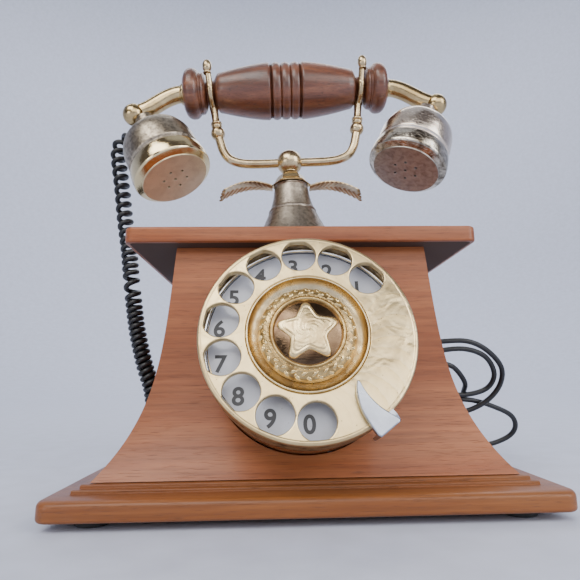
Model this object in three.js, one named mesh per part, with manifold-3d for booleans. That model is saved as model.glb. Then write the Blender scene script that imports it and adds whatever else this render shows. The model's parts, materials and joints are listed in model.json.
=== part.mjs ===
// A french-style cradle telephone: wooden case on a moulded plinth, rotary dial, bell-shaped
// stand with a two-armed cradle, and a turned wooden handset with metal cups.
// Millimetres, +Z up, +X to the right, the dial faces -Y. The origin is on the surface that the
// feet stand on, under the middle of the footprint.

import * as THREE from 'three';
import { mergeVertices } from 'three/addons/utils/BufferGeometryUtils.js';
import Module from 'manifold-3d';

const wasm = await Module();
wasm.setup();

// ---------------------------------------------------------------- driving dimensions
const GAP = 0.3;                       // between pieces that touch
const FOOT = { height: 3.5, radius: 7.5, insetX: 19, insetY: 15 };

const PLINTH = { width: 214, depth: 166, frontY: -75, boardHeight: 8.3, cornerRadius: 4 };
const MOULDING = { insets: [10, 12.5], height: 1.5 };
const WINDOW = { width: 146, depth: 92 };
const BOTTOM_PLATE = { width: 160, depth: 106, thickness: 1.4 };
const CASE_Y = PLINTH.frontY + PLINTH.depth / 2;       // middle of the case, front to back

const BODY = { topHalfWidth: 61.9, topHalfDepth: 47, wall: 8, bottomZ: 15.1, topZ: 121.5 };
const FLARE = { slope: 0.085, sweep: 20.6, power: 4.4, depthShare: 0.607, levels: 14 };
const TOP_BOARD = { width: 171.2, depth: 114, thickness: 7.8, cornerRadius: 4, bevel: 1.6 };
const TOP_BOARD_Z = BODY.topZ + GAP;
const STAND_Z = TOP_BOARD_Z + TOP_BOARD.thickness;     // top of the top board

const DIAL = { x: 0, y: -75, z: 75.9, tiltDeg: 16.3 };
const WHEEL = { radius: 45.5, thickness: 3.2, holeRadius: 7.6, holeCircle: 36.4, firstHoleDeg: 43.1,
  holeStepDeg: 25.6, holes: 10, hubRadius: 25.9 };
const STAR = { radius: 14.2, innerShare: 0.46, thickness: 1.2, turnDeg: 2 };
const STOP = { tip: [18.1, -22.1], leftPull: [17.4, -33], heel: [24.4, -43.2], toe: [33, -37.4],
  rightPull: [22.4, -33.4], lowZ: 1, depth: 2.2, bevel: 0.3, deg: -53.2, legReach: 48.5, legThickness: 1.6,
  legWidth: 8.6 };                                     // the claw's corners in the dial's plane
const HOUSING = { radius: 43.5, wall: 2, frontZ: -9.8, backZ: -36 };
const NUMBER_PLATE = { radius: 42.2, thickness: 1, frontZ: -8.5, boreRadius: 3.4 };
const SHAFT = { radius: 2.5, backZ: -31 };
const GEAR = { module: 1, teeth: 40, pinionTeeth: 10, thickness: 2.4, z: -17, centres: 26.1, deg: 205 };

const STAND = { x: -1.2, leanDeg: 2.3 };               // the stand leans a little to the left
const ROD_RADIUS = 2.2;
const FORK = { hubZ: 59.3, hubRadius: 7.9, wireRadius: 2.75, ballX: 43.8, ballZ: 80.6, ballRadius: 4.4,
  prongRadius: 1.85, neckX: 47.1, knobX: 48.1, knobY: 12.4, knobZ: 118.4 };
const WING = { steps: 8, rootX: 10.2, reach: 30.4, sweepBack: 3.4, rootZ: 41.6, archHeight: 5.2, droop: 6.2,
  rootHalf: 3.4, spread: 5.2, rootThickness: 2.2, thinning: 0.8 };
const HANDLE_Z = 108.3;                                // handset axis above the top board
const HANDSET_ROLL_DEG = 12;                           // cups swung a little to the front
const NECK_RADIUS = 7.5;
const GRIP_END = 64.2;
const TUBE_RADIUS = 5.3;
const ELBOW = { x: 95, z: -15.2, radius: 6.8 };
const TUBE_BEND = [[GRIP_END + 2 * GAP, 0], [67.4, 0], [71, -1], [76, -3.6], [81.2, -7.4], [86.2, -11.2],
  [90.4, -13.6]];                                      // x and z along the tube, grip to elbow
const CUP = { faceX: 67.9, faceZ: -64.2, leanDeg: 24.2, capHeight: 12.4, faceThickness: 2.6 };

const CURLY_DIAMETER = 10.5;                           // across the turns of the curly cord
const LINE_DIAMETER = 3.6;
const LINE_COIL = { x: 8, y: 128, meanRadius: 20, halfWidth: 5.5, height: 10.8 };

// ---------------------------------------------------------------- materials
const finish = (color, roughness, metalness) =>
  new THREE.MeshStandardMaterial({ color, roughness, metalness });
const WOOD = finish(0xb4745a, 0.45, 0);
const MAHOGANY = finish(0x6a2f1d, 0.3, 0);
const BRASS = finish(0xc8b27c, 0.35, 1);
const NICKEL = finish(0xa39a8b, 0.35, 1);
const STEEL = finish(0xb9c0cc, 0.3, 1);
const CHROME = finish(0xdadde2, 0.12, 1);
const ENAMEL = finish(0xc6cad6, 0.35, 0);
const RUBBER = finish(0x17181a, 0.7, 0);
const CORD_BLACK = finish(0x14161a, 0.45, 0);
const PHENOLIC = finish(0x2a1d18, 0.5, 0);
const COPPER = finish(0xa8623a, 0.4, 1);

// ---------------------------------------------------------------- geometry helpers
const rad = THREE.MathUtils.degToRad;

function toSolid(geometry) {
  const bare = geometry.clone();
  bare.deleteAttribute('normal');
  bare.deleteAttribute('uv');
  const merged = mergeVertices(bare, 1e-4);
  return new wasm.Manifold(new wasm.Mesh({
    numProp: 3,
    vertProperties: new Float32Array(merged.attributes.position.array),
    triVerts: new Uint32Array(merged.index.array),
  }));
}

function toGeometry(solid) {
  const mesh = solid.getMesh();
  const geometry = new THREE.BufferGeometry();
  geometry.setAttribute('position', new THREE.BufferAttribute(new Float32Array(mesh.vertProperties), 3));
  geometry.setIndex(new THREE.BufferAttribute(new Uint32Array(mesh.triVerts), 1));
  geometry.computeVertexNormals();
  return geometry;
}

const cut = (body, ...tools) =>
  toGeometry(tools.reduce((solid, tool) => solid.subtract(toSolid(tool)), toSolid(body)));
const join = (body, ...more) =>
  toGeometry(more.reduce((solid, piece) => solid.add(toSolid(piece)), toSolid(body)));

// A turned shape about +Z from [radius, z] pairs, given in either direction round the section.
function turned(profile, segments = 32) {
  const points = profile.map(([radius, z]) => new THREE.Vector2(radius, z));
  if (THREE.ShapeUtils.area(points) < 0) points.reverse();
  return new THREE.LatheGeometry(points, segments).rotateX(Math.PI / 2);
}

// A turned ring whose section closes on itself.
const turnedRing = (profile, segments = 32) => turned([...profile, profile[0]], segments);

const box = (width, depth, height) => new THREE.BoxGeometry(width, depth, height);
const rod = (radius, length, sides = 16) =>
  new THREE.CylinderGeometry(radius, radius, length, sides).rotateX(Math.PI / 2);
const ball = (radius, segments = 20) => new THREE.SphereGeometry(radius, segments, segments / 2);

// A round wire swept along a smooth curve through the points.
function wire(points, radius, steps, sides = 10) {
  const section = new THREE.Shape();
  section.absarc(0, 0, radius, 0, Math.PI * 2, false);
  const curve = new THREE.CatmullRomCurve3(points.map((p) => new THREE.Vector3(...p)));
  return new THREE.ExtrudeGeometry(section, {
    steps, extrudePath: curve, curveSegments: sides / 2, bevelEnabled: false });
}

function roundedRectangle(width, depth, radius) {
  const x = width / 2 - radius;
  const y = depth / 2 - radius;
  const shape = new THREE.Shape();
  shape.absarc(x, y, radius, 0, Math.PI / 2, false);
  shape.absarc(-x, y, radius, Math.PI / 2, Math.PI, false);
  shape.absarc(-x, -y, radius, Math.PI, Math.PI * 1.5, false);
  shape.absarc(x, -y, radius, Math.PI * 1.5, Math.PI * 2, false);
  return shape;
}

// A board with rounded corners and softened edges, from z = 0 up.
function board(width, depth, height, radius, bevel) {
  return new THREE.ExtrudeGeometry(roundedRectangle(width, depth, radius), {
    depth: height - 2 * bevel, bevelEnabled: bevel > 0, bevelThickness: bevel, bevelSize: bevel,
    bevelOffset: -bevel, bevelSegments: 1, curveSegments: 3,
  }).translate(0, 0, bevel);
}

// A closed solid through rectangles stacked in z: each level is { z, x: [low, high], y: [low, high] }.
function stackedRectangles(levels) {
  const positions = [];
  for (const { z, x, y } of levels) {
    positions.push(x[0], y[0], z, x[1], y[0], z, x[1], y[1], z, x[0], y[1], z);
  }
  const faces = [0, 2, 1, 0, 3, 2];
  for (let level = 0; level < levels.length - 1; level += 1) {
    const low = level * 4;
    const high = low + 4;
    for (let side = 0; side < 4; side += 1) {
      const next = (side + 1) % 4;
      faces.push(low + side, low + next, high + next, low + side, high + next, high + side);
    }
  }
  const top = (levels.length - 1) * 4;
  faces.push(top, top + 1, top + 2, top, top + 2, top + 3);
  const geometry = new THREE.BufferGeometry();
  geometry.setAttribute('position', new THREE.Float32BufferAttribute(positions, 3));
  geometry.setIndex(faces);
  geometry.computeVertexNormals();
  return geometry;
}

const phone = new THREE.Group();

function add(group, name, geometry, material, place = [0, 0, 0]) {
  const mesh = new THREE.Mesh(geometry, material.clone());
  mesh.name = name;
  mesh.position.set(...place);
  group.add(mesh);
  return mesh;
}

const SIDES = [['left', -1], ['right', 1]];

// ---------------------------------------------------------------- frames of the dial and the stand
const dial = new THREE.Group();                        // local +Z points out of the dial's face
dial.position.set(DIAL.x, DIAL.y, DIAL.z);
dial.rotation.x = rad(90 - DIAL.tiltDeg);
phone.add(dial);

const stand = new THREE.Group();                       // local +Z runs up the stand's axis
stand.position.set(STAND.x, CASE_Y, STAND_Z);
stand.rotation.y = rad(-STAND.leanDeg);
phone.add(stand);

const handset = new THREE.Group();                     // origin in the middle of the grip
handset.position.set(0, 0, HANDLE_Z);
handset.rotation.x = rad(-HANDSET_ROLL_DEG);
stand.add(handset);
phone.updateMatrixWorld(true);

const inPhone = (geometry, group) => geometry.clone().applyMatrix4(group.matrixWorld);

// ---------------------------------------------------------------- case
function flareAt(z) {
  const drop = BODY.topZ - z;
  return FLARE.slope * drop + FLARE.sweep * (drop / (BODY.topZ - BODY.bottomZ)) ** FLARE.power;
}

const halfWidthAt = (z) => BODY.topHalfWidth + flareAt(z);
const halfDepthAt = (z) => BODY.topHalfDepth + FLARE.depthShare * flareAt(z);

// Heights of the panel sections, closer together near the foot where the flare turns fastest.
function panelHeights() {
  const heights = [];
  for (let i = 0; i <= FLARE.levels; i += 1) {
    heights.push(BODY.bottomZ + (BODY.topZ - BODY.bottomZ) * (i / FLARE.levels) ** 1.5);
  }
  return heights;
}

const inPair = (side, outer, inner) => (side < 0 ? [-outer, -inner] : [inner, outer]);

function frontOrBackPanel(side) {
  return stackedRectangles(panelHeights().map((z) => ({
    z,
    x: [-halfWidthAt(z), halfWidthAt(z)],
    y: inPair(side, halfDepthAt(z), halfDepthAt(z) - BODY.wall).map((y) => y + CASE_Y),
  })));
}

function sidePanel(side) {
  return stackedRectangles(panelHeights().map((z) => {
    const reach = halfDepthAt(z) - BODY.wall - GAP;
    return {
      z,
      x: inPair(side, halfWidthAt(z), halfWidthAt(z) - BODY.wall),
      y: [CASE_Y - reach, CASE_Y + reach],
    };
  }));
}

const GLANDS = { x: 50, z: 26, turnDeg: 40, collar: 5.4 };

// A gland's frame: local +Z leaves the back panel, turned towards the gland's own side.
function glandFrame(side) {
  const turn = new THREE.Group();
  turn.position.set(side * GLANDS.x, CASE_Y + halfDepthAt(GLANDS.z) - 2, GLANDS.z);
  turn.rotation.z = -side * rad(GLANDS.turnDeg);
  const frame = new THREE.Group();
  frame.rotation.x = -Math.PI / 2;
  turn.add(frame);
  turn.updateMatrixWorld(true);
  return { turn, frame };
}

const screwSpots = [-1, 1].map((side) => [side * (BOTTOM_PLATE.width / 2 - 3.5), CASE_Y]);
const SCREW = { headRadius: 2.4, headHeight: 1.2, shankRadius: 1.4, length: 7 };

function buildCase() {
  const boardTop = FOOT.height + PLINTH.boardHeight;
  let plinth = board(PLINTH.width, PLINTH.depth, PLINTH.boardHeight, PLINTH.cornerRadius, 1)
    .translate(0, CASE_Y, FOOT.height);
  MOULDING.insets.forEach((inset, step) => {
    const height = MOULDING.height * (step + 1) + 1;
    plinth = join(plinth, board(PLINTH.width - 2 * inset, PLINTH.depth - 2 * inset, height, 1.5, 0.5)
      .translate(0, CASE_Y, boardTop - 1));
  });
  const rebate = BOTTOM_PLATE.thickness + GAP;
  plinth = cut(plinth,
    box(WINDOW.width, WINDOW.depth, 40).translate(0, CASE_Y, FOOT.height),
    box(BOTTOM_PLATE.width + 2 * GAP, BOTTOM_PLATE.depth + 2 * GAP, 2 * rebate)
      .translate(0, CASE_Y, FOOT.height),
    ...screwSpots.map(([x, y]) => rod(SCREW.shankRadius + GAP, 2 * SCREW.length)
      .translate(x, y, FOOT.height)));
  add(phone, 'plinth', plinth, WOOD);

  const plateZ = FOOT.height + BOTTOM_PLATE.thickness / 2;
  const plate = cut(box(BOTTOM_PLATE.width, BOTTOM_PLATE.depth, BOTTOM_PLATE.thickness)
    .translate(0, CASE_Y, plateZ), ...screwSpots.map(([x, y]) =>
    rod(SCREW.shankRadius + GAP, 10).translate(x, y, plateZ)));
  add(phone, 'bottom_plate', plate, STEEL);
  screwSpots.forEach(([x, y], i) => {
    const screw = turned([[0, -SCREW.headHeight], [SCREW.headRadius * 0.7, -SCREW.headHeight],
      [SCREW.headRadius, -GAP], [SCREW.shankRadius, -GAP], [SCREW.shankRadius, SCREW.length - 2],
      [0, SCREW.length - 1]], 12);
    add(phone, `plate_screw_${i + 1}`, screw, STEEL, [x, y, FOOT.height]);
  });

  const footProfile = [[0, 0], [FOOT.radius - 1.2, 0], [FOOT.radius, 1], [FOOT.radius - 0.4, FOOT.height - GAP],
    [0, FOOT.height - GAP]];
  [-1, 1].forEach((sy) => SIDES.forEach(([side, sx]) => {
    add(phone, `${side}_${sy < 0 ? 'front' : 'rear'}_foot`, turned(footProfile, 20), RUBBER,
      [sx * (PLINTH.width / 2 - FOOT.insetX), CASE_Y + sy * (PLINTH.depth / 2 - FOOT.insetY), 0]);
  }));

  const dialHole = inPhone(rod(HOUSING.radius + GAP, 60, 48).translate(0, 0, HOUSING.backZ), dial);
  add(phone, 'front_panel', cut(frontOrBackPanel(-1), dialHole), WOOD);
  const glandHoles = SIDES.map(([, side]) => inPhone(rod(GLANDS.collar + GAP, 40), glandFrame(side).frame));
  add(phone, 'back_panel', cut(frontOrBackPanel(1), ...glandHoles), WOOD);
  SIDES.forEach(([name, side]) => add(phone, `${name}_side_panel`, sidePanel(side), WOOD));

  const rodHole = inPhone(rod(ROD_RADIUS + 0.6, 60), stand);
  const top = board(TOP_BOARD.width, TOP_BOARD.depth, TOP_BOARD.thickness, TOP_BOARD.cornerRadius,
    TOP_BOARD.bevel).translate(0, CASE_Y, TOP_BOARD_Z);
  add(phone, 'top_board', cut(top, rodHole), WOOD);
}

// ---------------------------------------------------------------- dial
function wheelHoleAngles() {
  return Array.from({ length: WHEEL.holes }, (_, i) => rad(WHEEL.firstHoleDeg + i * WHEEL.holeStepDeg));
}

function fingerWheel() {
  const { radius, thickness, hubRadius, holeRadius, holeCircle } = WHEEL;
  const disc = turnedRing([[hubRadius, -thickness], [radius, -thickness],
    [radius, -0.8], [radius - 0.9, 0], [radius - 2.4, -0.4], [hubRadius, -0.4]], 44);
  const holes = wheelHoleAngles().map((angle) => rod(holeRadius, 10, 18)
    .translate(holeCircle * Math.cos(angle), holeCircle * Math.sin(angle), 0));
  return cut(disc, ...holes);
}

function starShape(radius, innerShare) {
  const points = [];
  for (let i = 0; i < 10; i += 1) {
    const reach = i % 2 === 0 ? radius : radius * innerShare;
    const angle = Math.PI / 2 + (i * Math.PI) / 5;
    points.push(new THREE.Vector2(reach * Math.cos(angle), reach * Math.sin(angle)));
  }
  return new THREE.Shape(points);
}

function spurGear(teeth, boreRadius) {
  const pitch = (teeth * GEAR.module) / 2;
  const tip = pitch + 0.4 * GEAR.module;
  const root = pitch - 0.8 * GEAR.module;
  const points = [];
  for (let tooth = 0; tooth < teeth; tooth += 1) {
    [[0, root], [0.4, tip], [0.5, tip]].forEach(([part, radius]) => {
      const angle = ((tooth + part) / teeth) * Math.PI * 2;
      points.push(new THREE.Vector2(radius * Math.cos(angle), radius * Math.sin(angle)));
    });
  }
  const shape = new THREE.Shape(points);
  shape.holes.push(new THREE.Path().absarc(0, 0, boreRadius, 0, Math.PI * 2, true));
  return new THREE.ExtrudeGeometry(shape, { depth: GEAR.thickness, bevelEnabled: false, curveSegments: 8 });
}

// A claw over the wheel, a leg down past its rim, and a foot against the bezel.
function fingerStop() {
  const { tip, heel, toe, leftPull, rightPull, lowZ, depth, bevel, deg } = STOP;
  const blade = new THREE.Shape();
  blade.moveTo(...tip);
  blade.quadraticCurveTo(...leftPull, ...heel);
  blade.lineTo(...toe);
  blade.quadraticCurveTo(...rightPull, ...tip.map((value) => value + 0.7));
  blade.closePath();
  const claw = new THREE.ExtrudeGeometry(blade, { depth, bevelEnabled: true, bevelSize: bevel,
    bevelThickness: bevel, bevelOffset: -bevel, bevelSegments: 1, curveSegments: 10 })
    .translate(0, 0, lowZ + bevel);
  const place = (geometry, reach, z) => geometry.rotateZ(rad(deg))
    .translate(reach * Math.cos(rad(deg)), reach * Math.sin(rad(deg)), z);
  const leg = place(box(STOP.legThickness, STOP.legWidth, 17), STOP.legReach, -4.6);
  const foot = place(box(3.6, STOP.legWidth, 1.8), STOP.legReach - 1.6, -12.2);
  return join(claw, leg, foot);
}

function buildDial() {
  const wall = HOUSING.radius - HOUSING.wall;
  const backFace = HOUSING.backZ + HOUSING.wall;
  add(dial, 'dial_housing', turnedRing([[SHAFT.radius + 0.4, HOUSING.backZ], [HOUSING.radius, HOUSING.backZ],
    [HOUSING.radius, HOUSING.frontZ], [wall, HOUSING.frontZ], [wall, backFace],
    [SHAFT.radius + 0.4, backFace]], 40), BRASS);
  const plateBack = NUMBER_PLATE.frontZ - NUMBER_PLATE.thickness;
  add(dial, 'number_plate', turnedRing([[NUMBER_PLATE.boreRadius, plateBack], [NUMBER_PLATE.radius, plateBack],
    [NUMBER_PLATE.radius, NUMBER_PLATE.frontZ], [NUMBER_PLATE.boreRadius, NUMBER_PLATE.frontZ]], 48), ENAMEL);
  add(dial, 'dial_bezel', turnedRing([[42.5, -9.5], [43.8, -9.5], [43.8, -13], [44.7, -13], [45.0, -8.8],
    [44.3, -7.2], [43.2, -7.2], [42.5, -8]], 40), CHROME);
  add(dial, 'finger_stop', fingerStop(), STEEL);

  add(dial, 'finger_wheel', fingerWheel(), BRASS);
  add(dial, 'hub_dish', turned([[0, -6], [24.8, -6], [25.6, -5.2], [25.6, -0.4], [25, 0.1], [24.2, -0.2],
    [23, -1.9], [21.6, -2.6], [20.9, -3.2], [20.9, -4], [0, -4]], 32), BRASS);
  add(dial, 'hub_medallion', turned([[0, -3.7], [20.4, -3.7], [20.4, -1.9], [19, -0.7], [16.9, 0], [16, 0.9],
    [15, 0.9], [14.5, 0], [0, 0]], 32), BRASS);
  const star = new THREE.ExtrudeGeometry(starShape(STAR.radius, STAR.innerShare), { depth: STAR.thickness - 0.4,
    bevelEnabled: true, bevelThickness: 0.4, bevelSize: 0.5, bevelOffset: -0.5, bevelSegments: 1 });
  add(dial, 'hub_star', star.rotateZ(rad(STAR.turnDeg)), BRASS, [0, 0, 0.4 + GAP]);
  const shaft = turned([[0, -6 - GAP], [6, -6 - GAP], [6, -7.6], [SHAFT.radius, -7.6],
    [SHAFT.radius, SHAFT.backZ], [0, SHAFT.backZ]], 16);
  const shaftGear = spurGear(GEAR.teeth, SHAFT.radius - GAP).translate(0, 0, GEAR.z);
  add(dial, 'dial_shaft_gear', join(shaft, shaftGear), BRASS);

  const gx = GEAR.centres * Math.cos(rad(GEAR.deg));
  const gy = GEAR.centres * Math.sin(rad(GEAR.deg));
  const drum = turned([[0, 5], [1.2, 5], [1.2, -4], [8, -4], [8, -11], [1.2, -11], [1.2, -15], [0, -15]], 20);
  add(dial, 'governor', join(drum, spurGear(GEAR.pinionTeeth, 1)), STEEL, [gx, gy, GEAR.z]);
}

// ---------------------------------------------------------------- stand and cradle
// The wing's top runs up from its root, over the arch and down to the tip. It widens to the tip,
// which is cut back at the front, and it hangs level although the stand leans.
function wing(side) {
  const { steps, rootX, reach, sweepBack, rootZ, archHeight, droop, rootHalf, spread } = WING;
  const levels = [];
  for (let i = 0; i <= steps; i += 1) {
    const share = i / steps;
    const arch = rootZ + archHeight * Math.sin(Math.PI * (0.1 + 0.62 * share)) - droop * share ** 2
      - side * Math.tan(rad(STAND.leanDeg)) * (rootX + reach * share);
    const half = rootHalf + spread * share ** 0.7;
    levels.push({ share, arch, half });
  }
  const positions = [];
  for (const { share, arch, half } of levels) {
    const frontX = rootX + reach * share;
    const backX = rootX + (reach + sweepBack) * share;
    const thick = WING.rootThickness - WING.thinning * share;
    positions.push(side * frontX, -half, arch - thick, side * backX, half, arch - thick,
      side * backX, half, arch, side * frontX, -half, arch);
  }
  const faces = [0, 1, 2, 0, 2, 3];
  for (let level = 0; level < steps; level += 1) {
    const low = level * 4;
    const high = low + 4;
    for (let edge = 0; edge < 4; edge += 1) {
      const next = (edge + 1) % 4;
      faces.push(low + edge, high + next, low + next, low + edge, high + edge, high + next);
    }
  }
  const end = steps * 4;
  faces.push(end, end + 2, end + 1, end, end + 3, end + 2);
  if (side > 0) faces.reverse();
  const geometry = new THREE.BufferGeometry();
  geometry.setAttribute('position', new THREE.Float32BufferAttribute(positions, 3));
  geometry.setIndex(faces);
  geometry.computeVertexNormals();
  return geometry;
}

function cradleBell() {
  const bore = ROD_RADIUS + 0.6;
  const bell = turnedRing([[bore, -4], [30.6, -4], [30.6, 1.8], [29, 3.2], [25.4, 6.6], [21.6, 11.4],
    [18, 17.6], [15.6, 22.6], [13.4, 28], [11.6, 34.6], [10.2, 42.5], [9.6, 43.6],
    [bore, 43.6]], 28);
  const hollow = turnedRing([[bore - 0.2, -6], [26, -6], [24, 4], [16.5, 14], [11.5, 24], [9, 30],
    [bore - 0.2, 31]], 20);
  const boardTop = box(120, 120, 20).translate(STAND.x, CASE_Y, STAND_Z + GAP - 10);
  const unlean = stand.matrixWorld.clone().invert();
  return cut(bell, hollow, boardTop.applyMatrix4(unlean));
}

function collar() {
  const facets = 6;
  const pyramid = turnedRing([[ROD_RADIUS + 0.6, 43.9], [12.6, 43.9], [12.2, 45.2], [9.4, 47.2], [7.4, 49.4],
    [6.9, 51.1], [ROD_RADIUS + 0.6, 51.1]], facets);
  return pyramid.rotateZ(Math.PI / facets);
}

function forkArm(side) {
  const { hubZ, wireRadius, ballX, ballZ, prongRadius, neckX, knobX, knobY, knobZ } = FORK;
  const arm = wire([[side * 7.3, 0, hubZ], [side * 20, 0, hubZ], [side * 31, 0, hubZ + 0.3],
    [side * 38.6, 0, hubZ + 3.6], [side * 41.8, 0, hubZ + 10.6], [side * ballX, 0, ballZ]], wireRadius, 14, 8);
  const stem = wire([[side * ballX, 0, ballZ], [side * 45.2, 0, ballZ + 9], [side * 46.4, 0, 99]], 2.3, 3, 8);
  const knuckle = ball(FORK.ballRadius, 14).translate(side * ballX, 0, ballZ);
  const ring = turned([[0, -1.5], [2.9, -1.5], [3.5, -0.6], [3.5, 0.6], [2.9, 1.5], [0, 1.5]], 16)
    .rotateY(side * rad(7)).translate(side * 44.8, 0, ballZ + 6.2);
  const reach = NECK_RADIUS + 0.45 + prongRadius;
  const around = [];
  for (let i = 0; i <= 8; i += 1) {
    const angle = Math.PI * (1 + i / 8);
    around.push([side * (neckX - 0.9 * (1 - Math.abs(Math.cos(angle)))), reach * Math.cos(angle),
      HANDLE_Z + reach * Math.sin(angle)]);
  }
  const yoke = wire([[side * knobX, -knobY, knobZ], ...around, [side * knobX, knobY, knobZ]],
    prongRadius, 20, 8);
  const knobs = [-1, 1].map((sy) => ball(1, 12).scale(2.8, 3, 4.2)
    .translate(side * knobX, sy * (knobY + 0.2), knobZ + 0.6));
  return join(arm, knuckle, stem, ring, yoke, ...knobs);
}

function buildStand() {
  add(stand, 'cradle_bell', cradleBell(), NICKEL);
  add(stand, 'cradle_collar', collar(), BRASS);
  const wingRoom = join(rod(11.3, 20, 24).translate(0, 0, 34), rod(13, 14, 24).translate(0, 0, 50.4));
  SIDES.forEach(([name, side]) => add(stand, `${name}_wing`, cut(wing(side), wingRoom), BRASS));

  const { hubZ, hubRadius } = FORK;
  const sockets = SIDES.map(([, side]) => rod(FORK.wireRadius + GAP, 20, 14).rotateY(Math.PI / 2)
    .translate(side * (7.3 - GAP + 10), 0, hubZ));
  const hub = join(ball(hubRadius, 18).translate(0, 0, hubZ), rod(3.4, 3).translate(0, 0, hubZ - 6.4));
  add(stand, 'cradle_hub', cut(hub, ...sockets), NICKEL);
  SIDES.forEach(([name, side]) => add(stand, `${name}_fork_arm`, forkArm(side), NICKEL));
  const rodTop = hubZ - 7.9 - GAP;
  const rodBottom = -42;
  add(stand, 'hook_rod', turned([[0, rodBottom], [ROD_RADIUS, rodBottom], [ROD_RADIUS, -15.4], [5.6, -15.4],
    [5.6, -14], [ROD_RADIUS, -14], [ROD_RADIUS, rodTop], [0, rodTop]], 16), STEEL);
  add(stand, 'hook_spring', hookSpring(), STEEL);
  const strap = join(box(24, 9, 1.4).translate(0, 0, -34.9), ...SIDES.map(([, side]) =>
    box(1.4, 9, 26.2).translate(side * 11.3, 0, -22.5)));
  add(stand, 'hook_bracket', cut(strap, rod(ROD_RADIUS + 0.5, 10).translate(0, 0, -35)), STEEL);
}

// The spring stands on the bracket under the top board and lifts the rod by its flange.
function hookSpring() {
  const turns = 5;
  const points = [];
  for (let i = 0; i <= turns * 8; i += 1) {
    const angle = (i / 8) * Math.PI * 2;
    points.push([4.4 * Math.cos(angle), 4.4 * Math.sin(angle), -33 + (16.6 * i) / (turns * 8)]);
  }
  return wire(points, 0.6, turns * 8, 4);
}

// ---------------------------------------------------------------- handset
function gripProfile() {
  const bore = 3;
  const half = [[8.9, 15.5], [10.4, 17.2], [20, 16], [31, 14.1], [42.2, 11.8], [44.8, NECK_RADIUS],
    [49.9, NECK_RADIUS], [51.6, 11.9], [53.9, 12.9], [55.6, 14.9], [58.4, 15.4], [61.4, 14.6], [63.4, 12.4],
    [GRIP_END, 9.6]];
  const beads = [];
  for (let i = -6; i <= 6; i += 1) {
    const swell = Math.abs(Math.cos((i / 4) * Math.PI));
    beads.push([i * 1.47, 15.5 + 1.7 * Math.sqrt(swell)]);
  }
  const mirrored = half.map(([x, r]) => [-x, r]).reverse();
  const outline = [...mirrored.slice(0, -1), ...beads, ...half.slice(1)];
  return [[bore, -GRIP_END], ...outline.map(([x, r]) => [r, x]), [bore, GRIP_END]];
}

function cupFrame(side) {
  const frame = new THREE.Group();                     // local +Z runs from the face up to the tube
  frame.position.set(side * CUP.faceX, 0, CUP.faceZ);
  frame.rotation.y = side * rad(CUP.leanDeg);
  handset.add(frame);
  frame.updateMatrixWorld(true);
  return frame;
}

function tubePath(side) {
  return TUBE_BEND.map(([x, z]) => [side * x, 0, z]);
}

const CUP_PROFILE = [[19.4, 12.7], [21, 12.7], [21.5, 13.5], [20.9, 14.6], [21.8, 15.7], [21.9, 22.9],
  [21.2, 27.4], [19.4, 32.1], [16, 35.7], [11, 37.9], [6.8, 38.6], [6.2, 40], [6.2, 50], [0, 50]];
const CUP_HOLLOW = [[0, 34.5], [12, 33.5], [17, 29.3], [19.4, 23.3]];
const CAP_PROFILE = [[0, 0], [19.4, 0], [22.8, 2.4], [23.3, 3.6], [23.2, 8], [22.4, CUP.capHeight],
  [20.6, CUP.capHeight], [20.6, CUP.faceThickness], [0, CUP.faceThickness]];

function cupCap() {
  const holes = [[0, 0]];
  for (let i = 0; i < 6; i += 1) {
    holes.push([7 * Math.cos((i * Math.PI) / 3), 7 * Math.sin((i * Math.PI) / 3)]);
  }
  return cut(turned(CAP_PROFILE, 28), ...holes.map(([x, y]) => rod(0.8, 12, 6).translate(x, y, 0)));
}

const HANDSET_GLAND = { height: 24, turnDeg: 65, riseDeg: 20 };

// Where the curly cord leaves the left cup: local +Z points out of the cup's rear shoulder, and a hair
// below level once the cup leans, so that the gland draws clear of the cord when the handset lifts.
function handsetGlandFrame(cup) {
  const frame = new THREE.Group();
  frame.position.set(0, 0, HANDSET_GLAND.height);
  frame.rotation.z = rad(180 - HANDSET_GLAND.turnDeg);
  const outward = new THREE.Group();
  outward.rotation.y = rad(90 - HANDSET_GLAND.riseDeg);
  frame.add(outward);
  cup.add(frame);
  cup.updateMatrixWorld(true);
  return outward;
}

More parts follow.
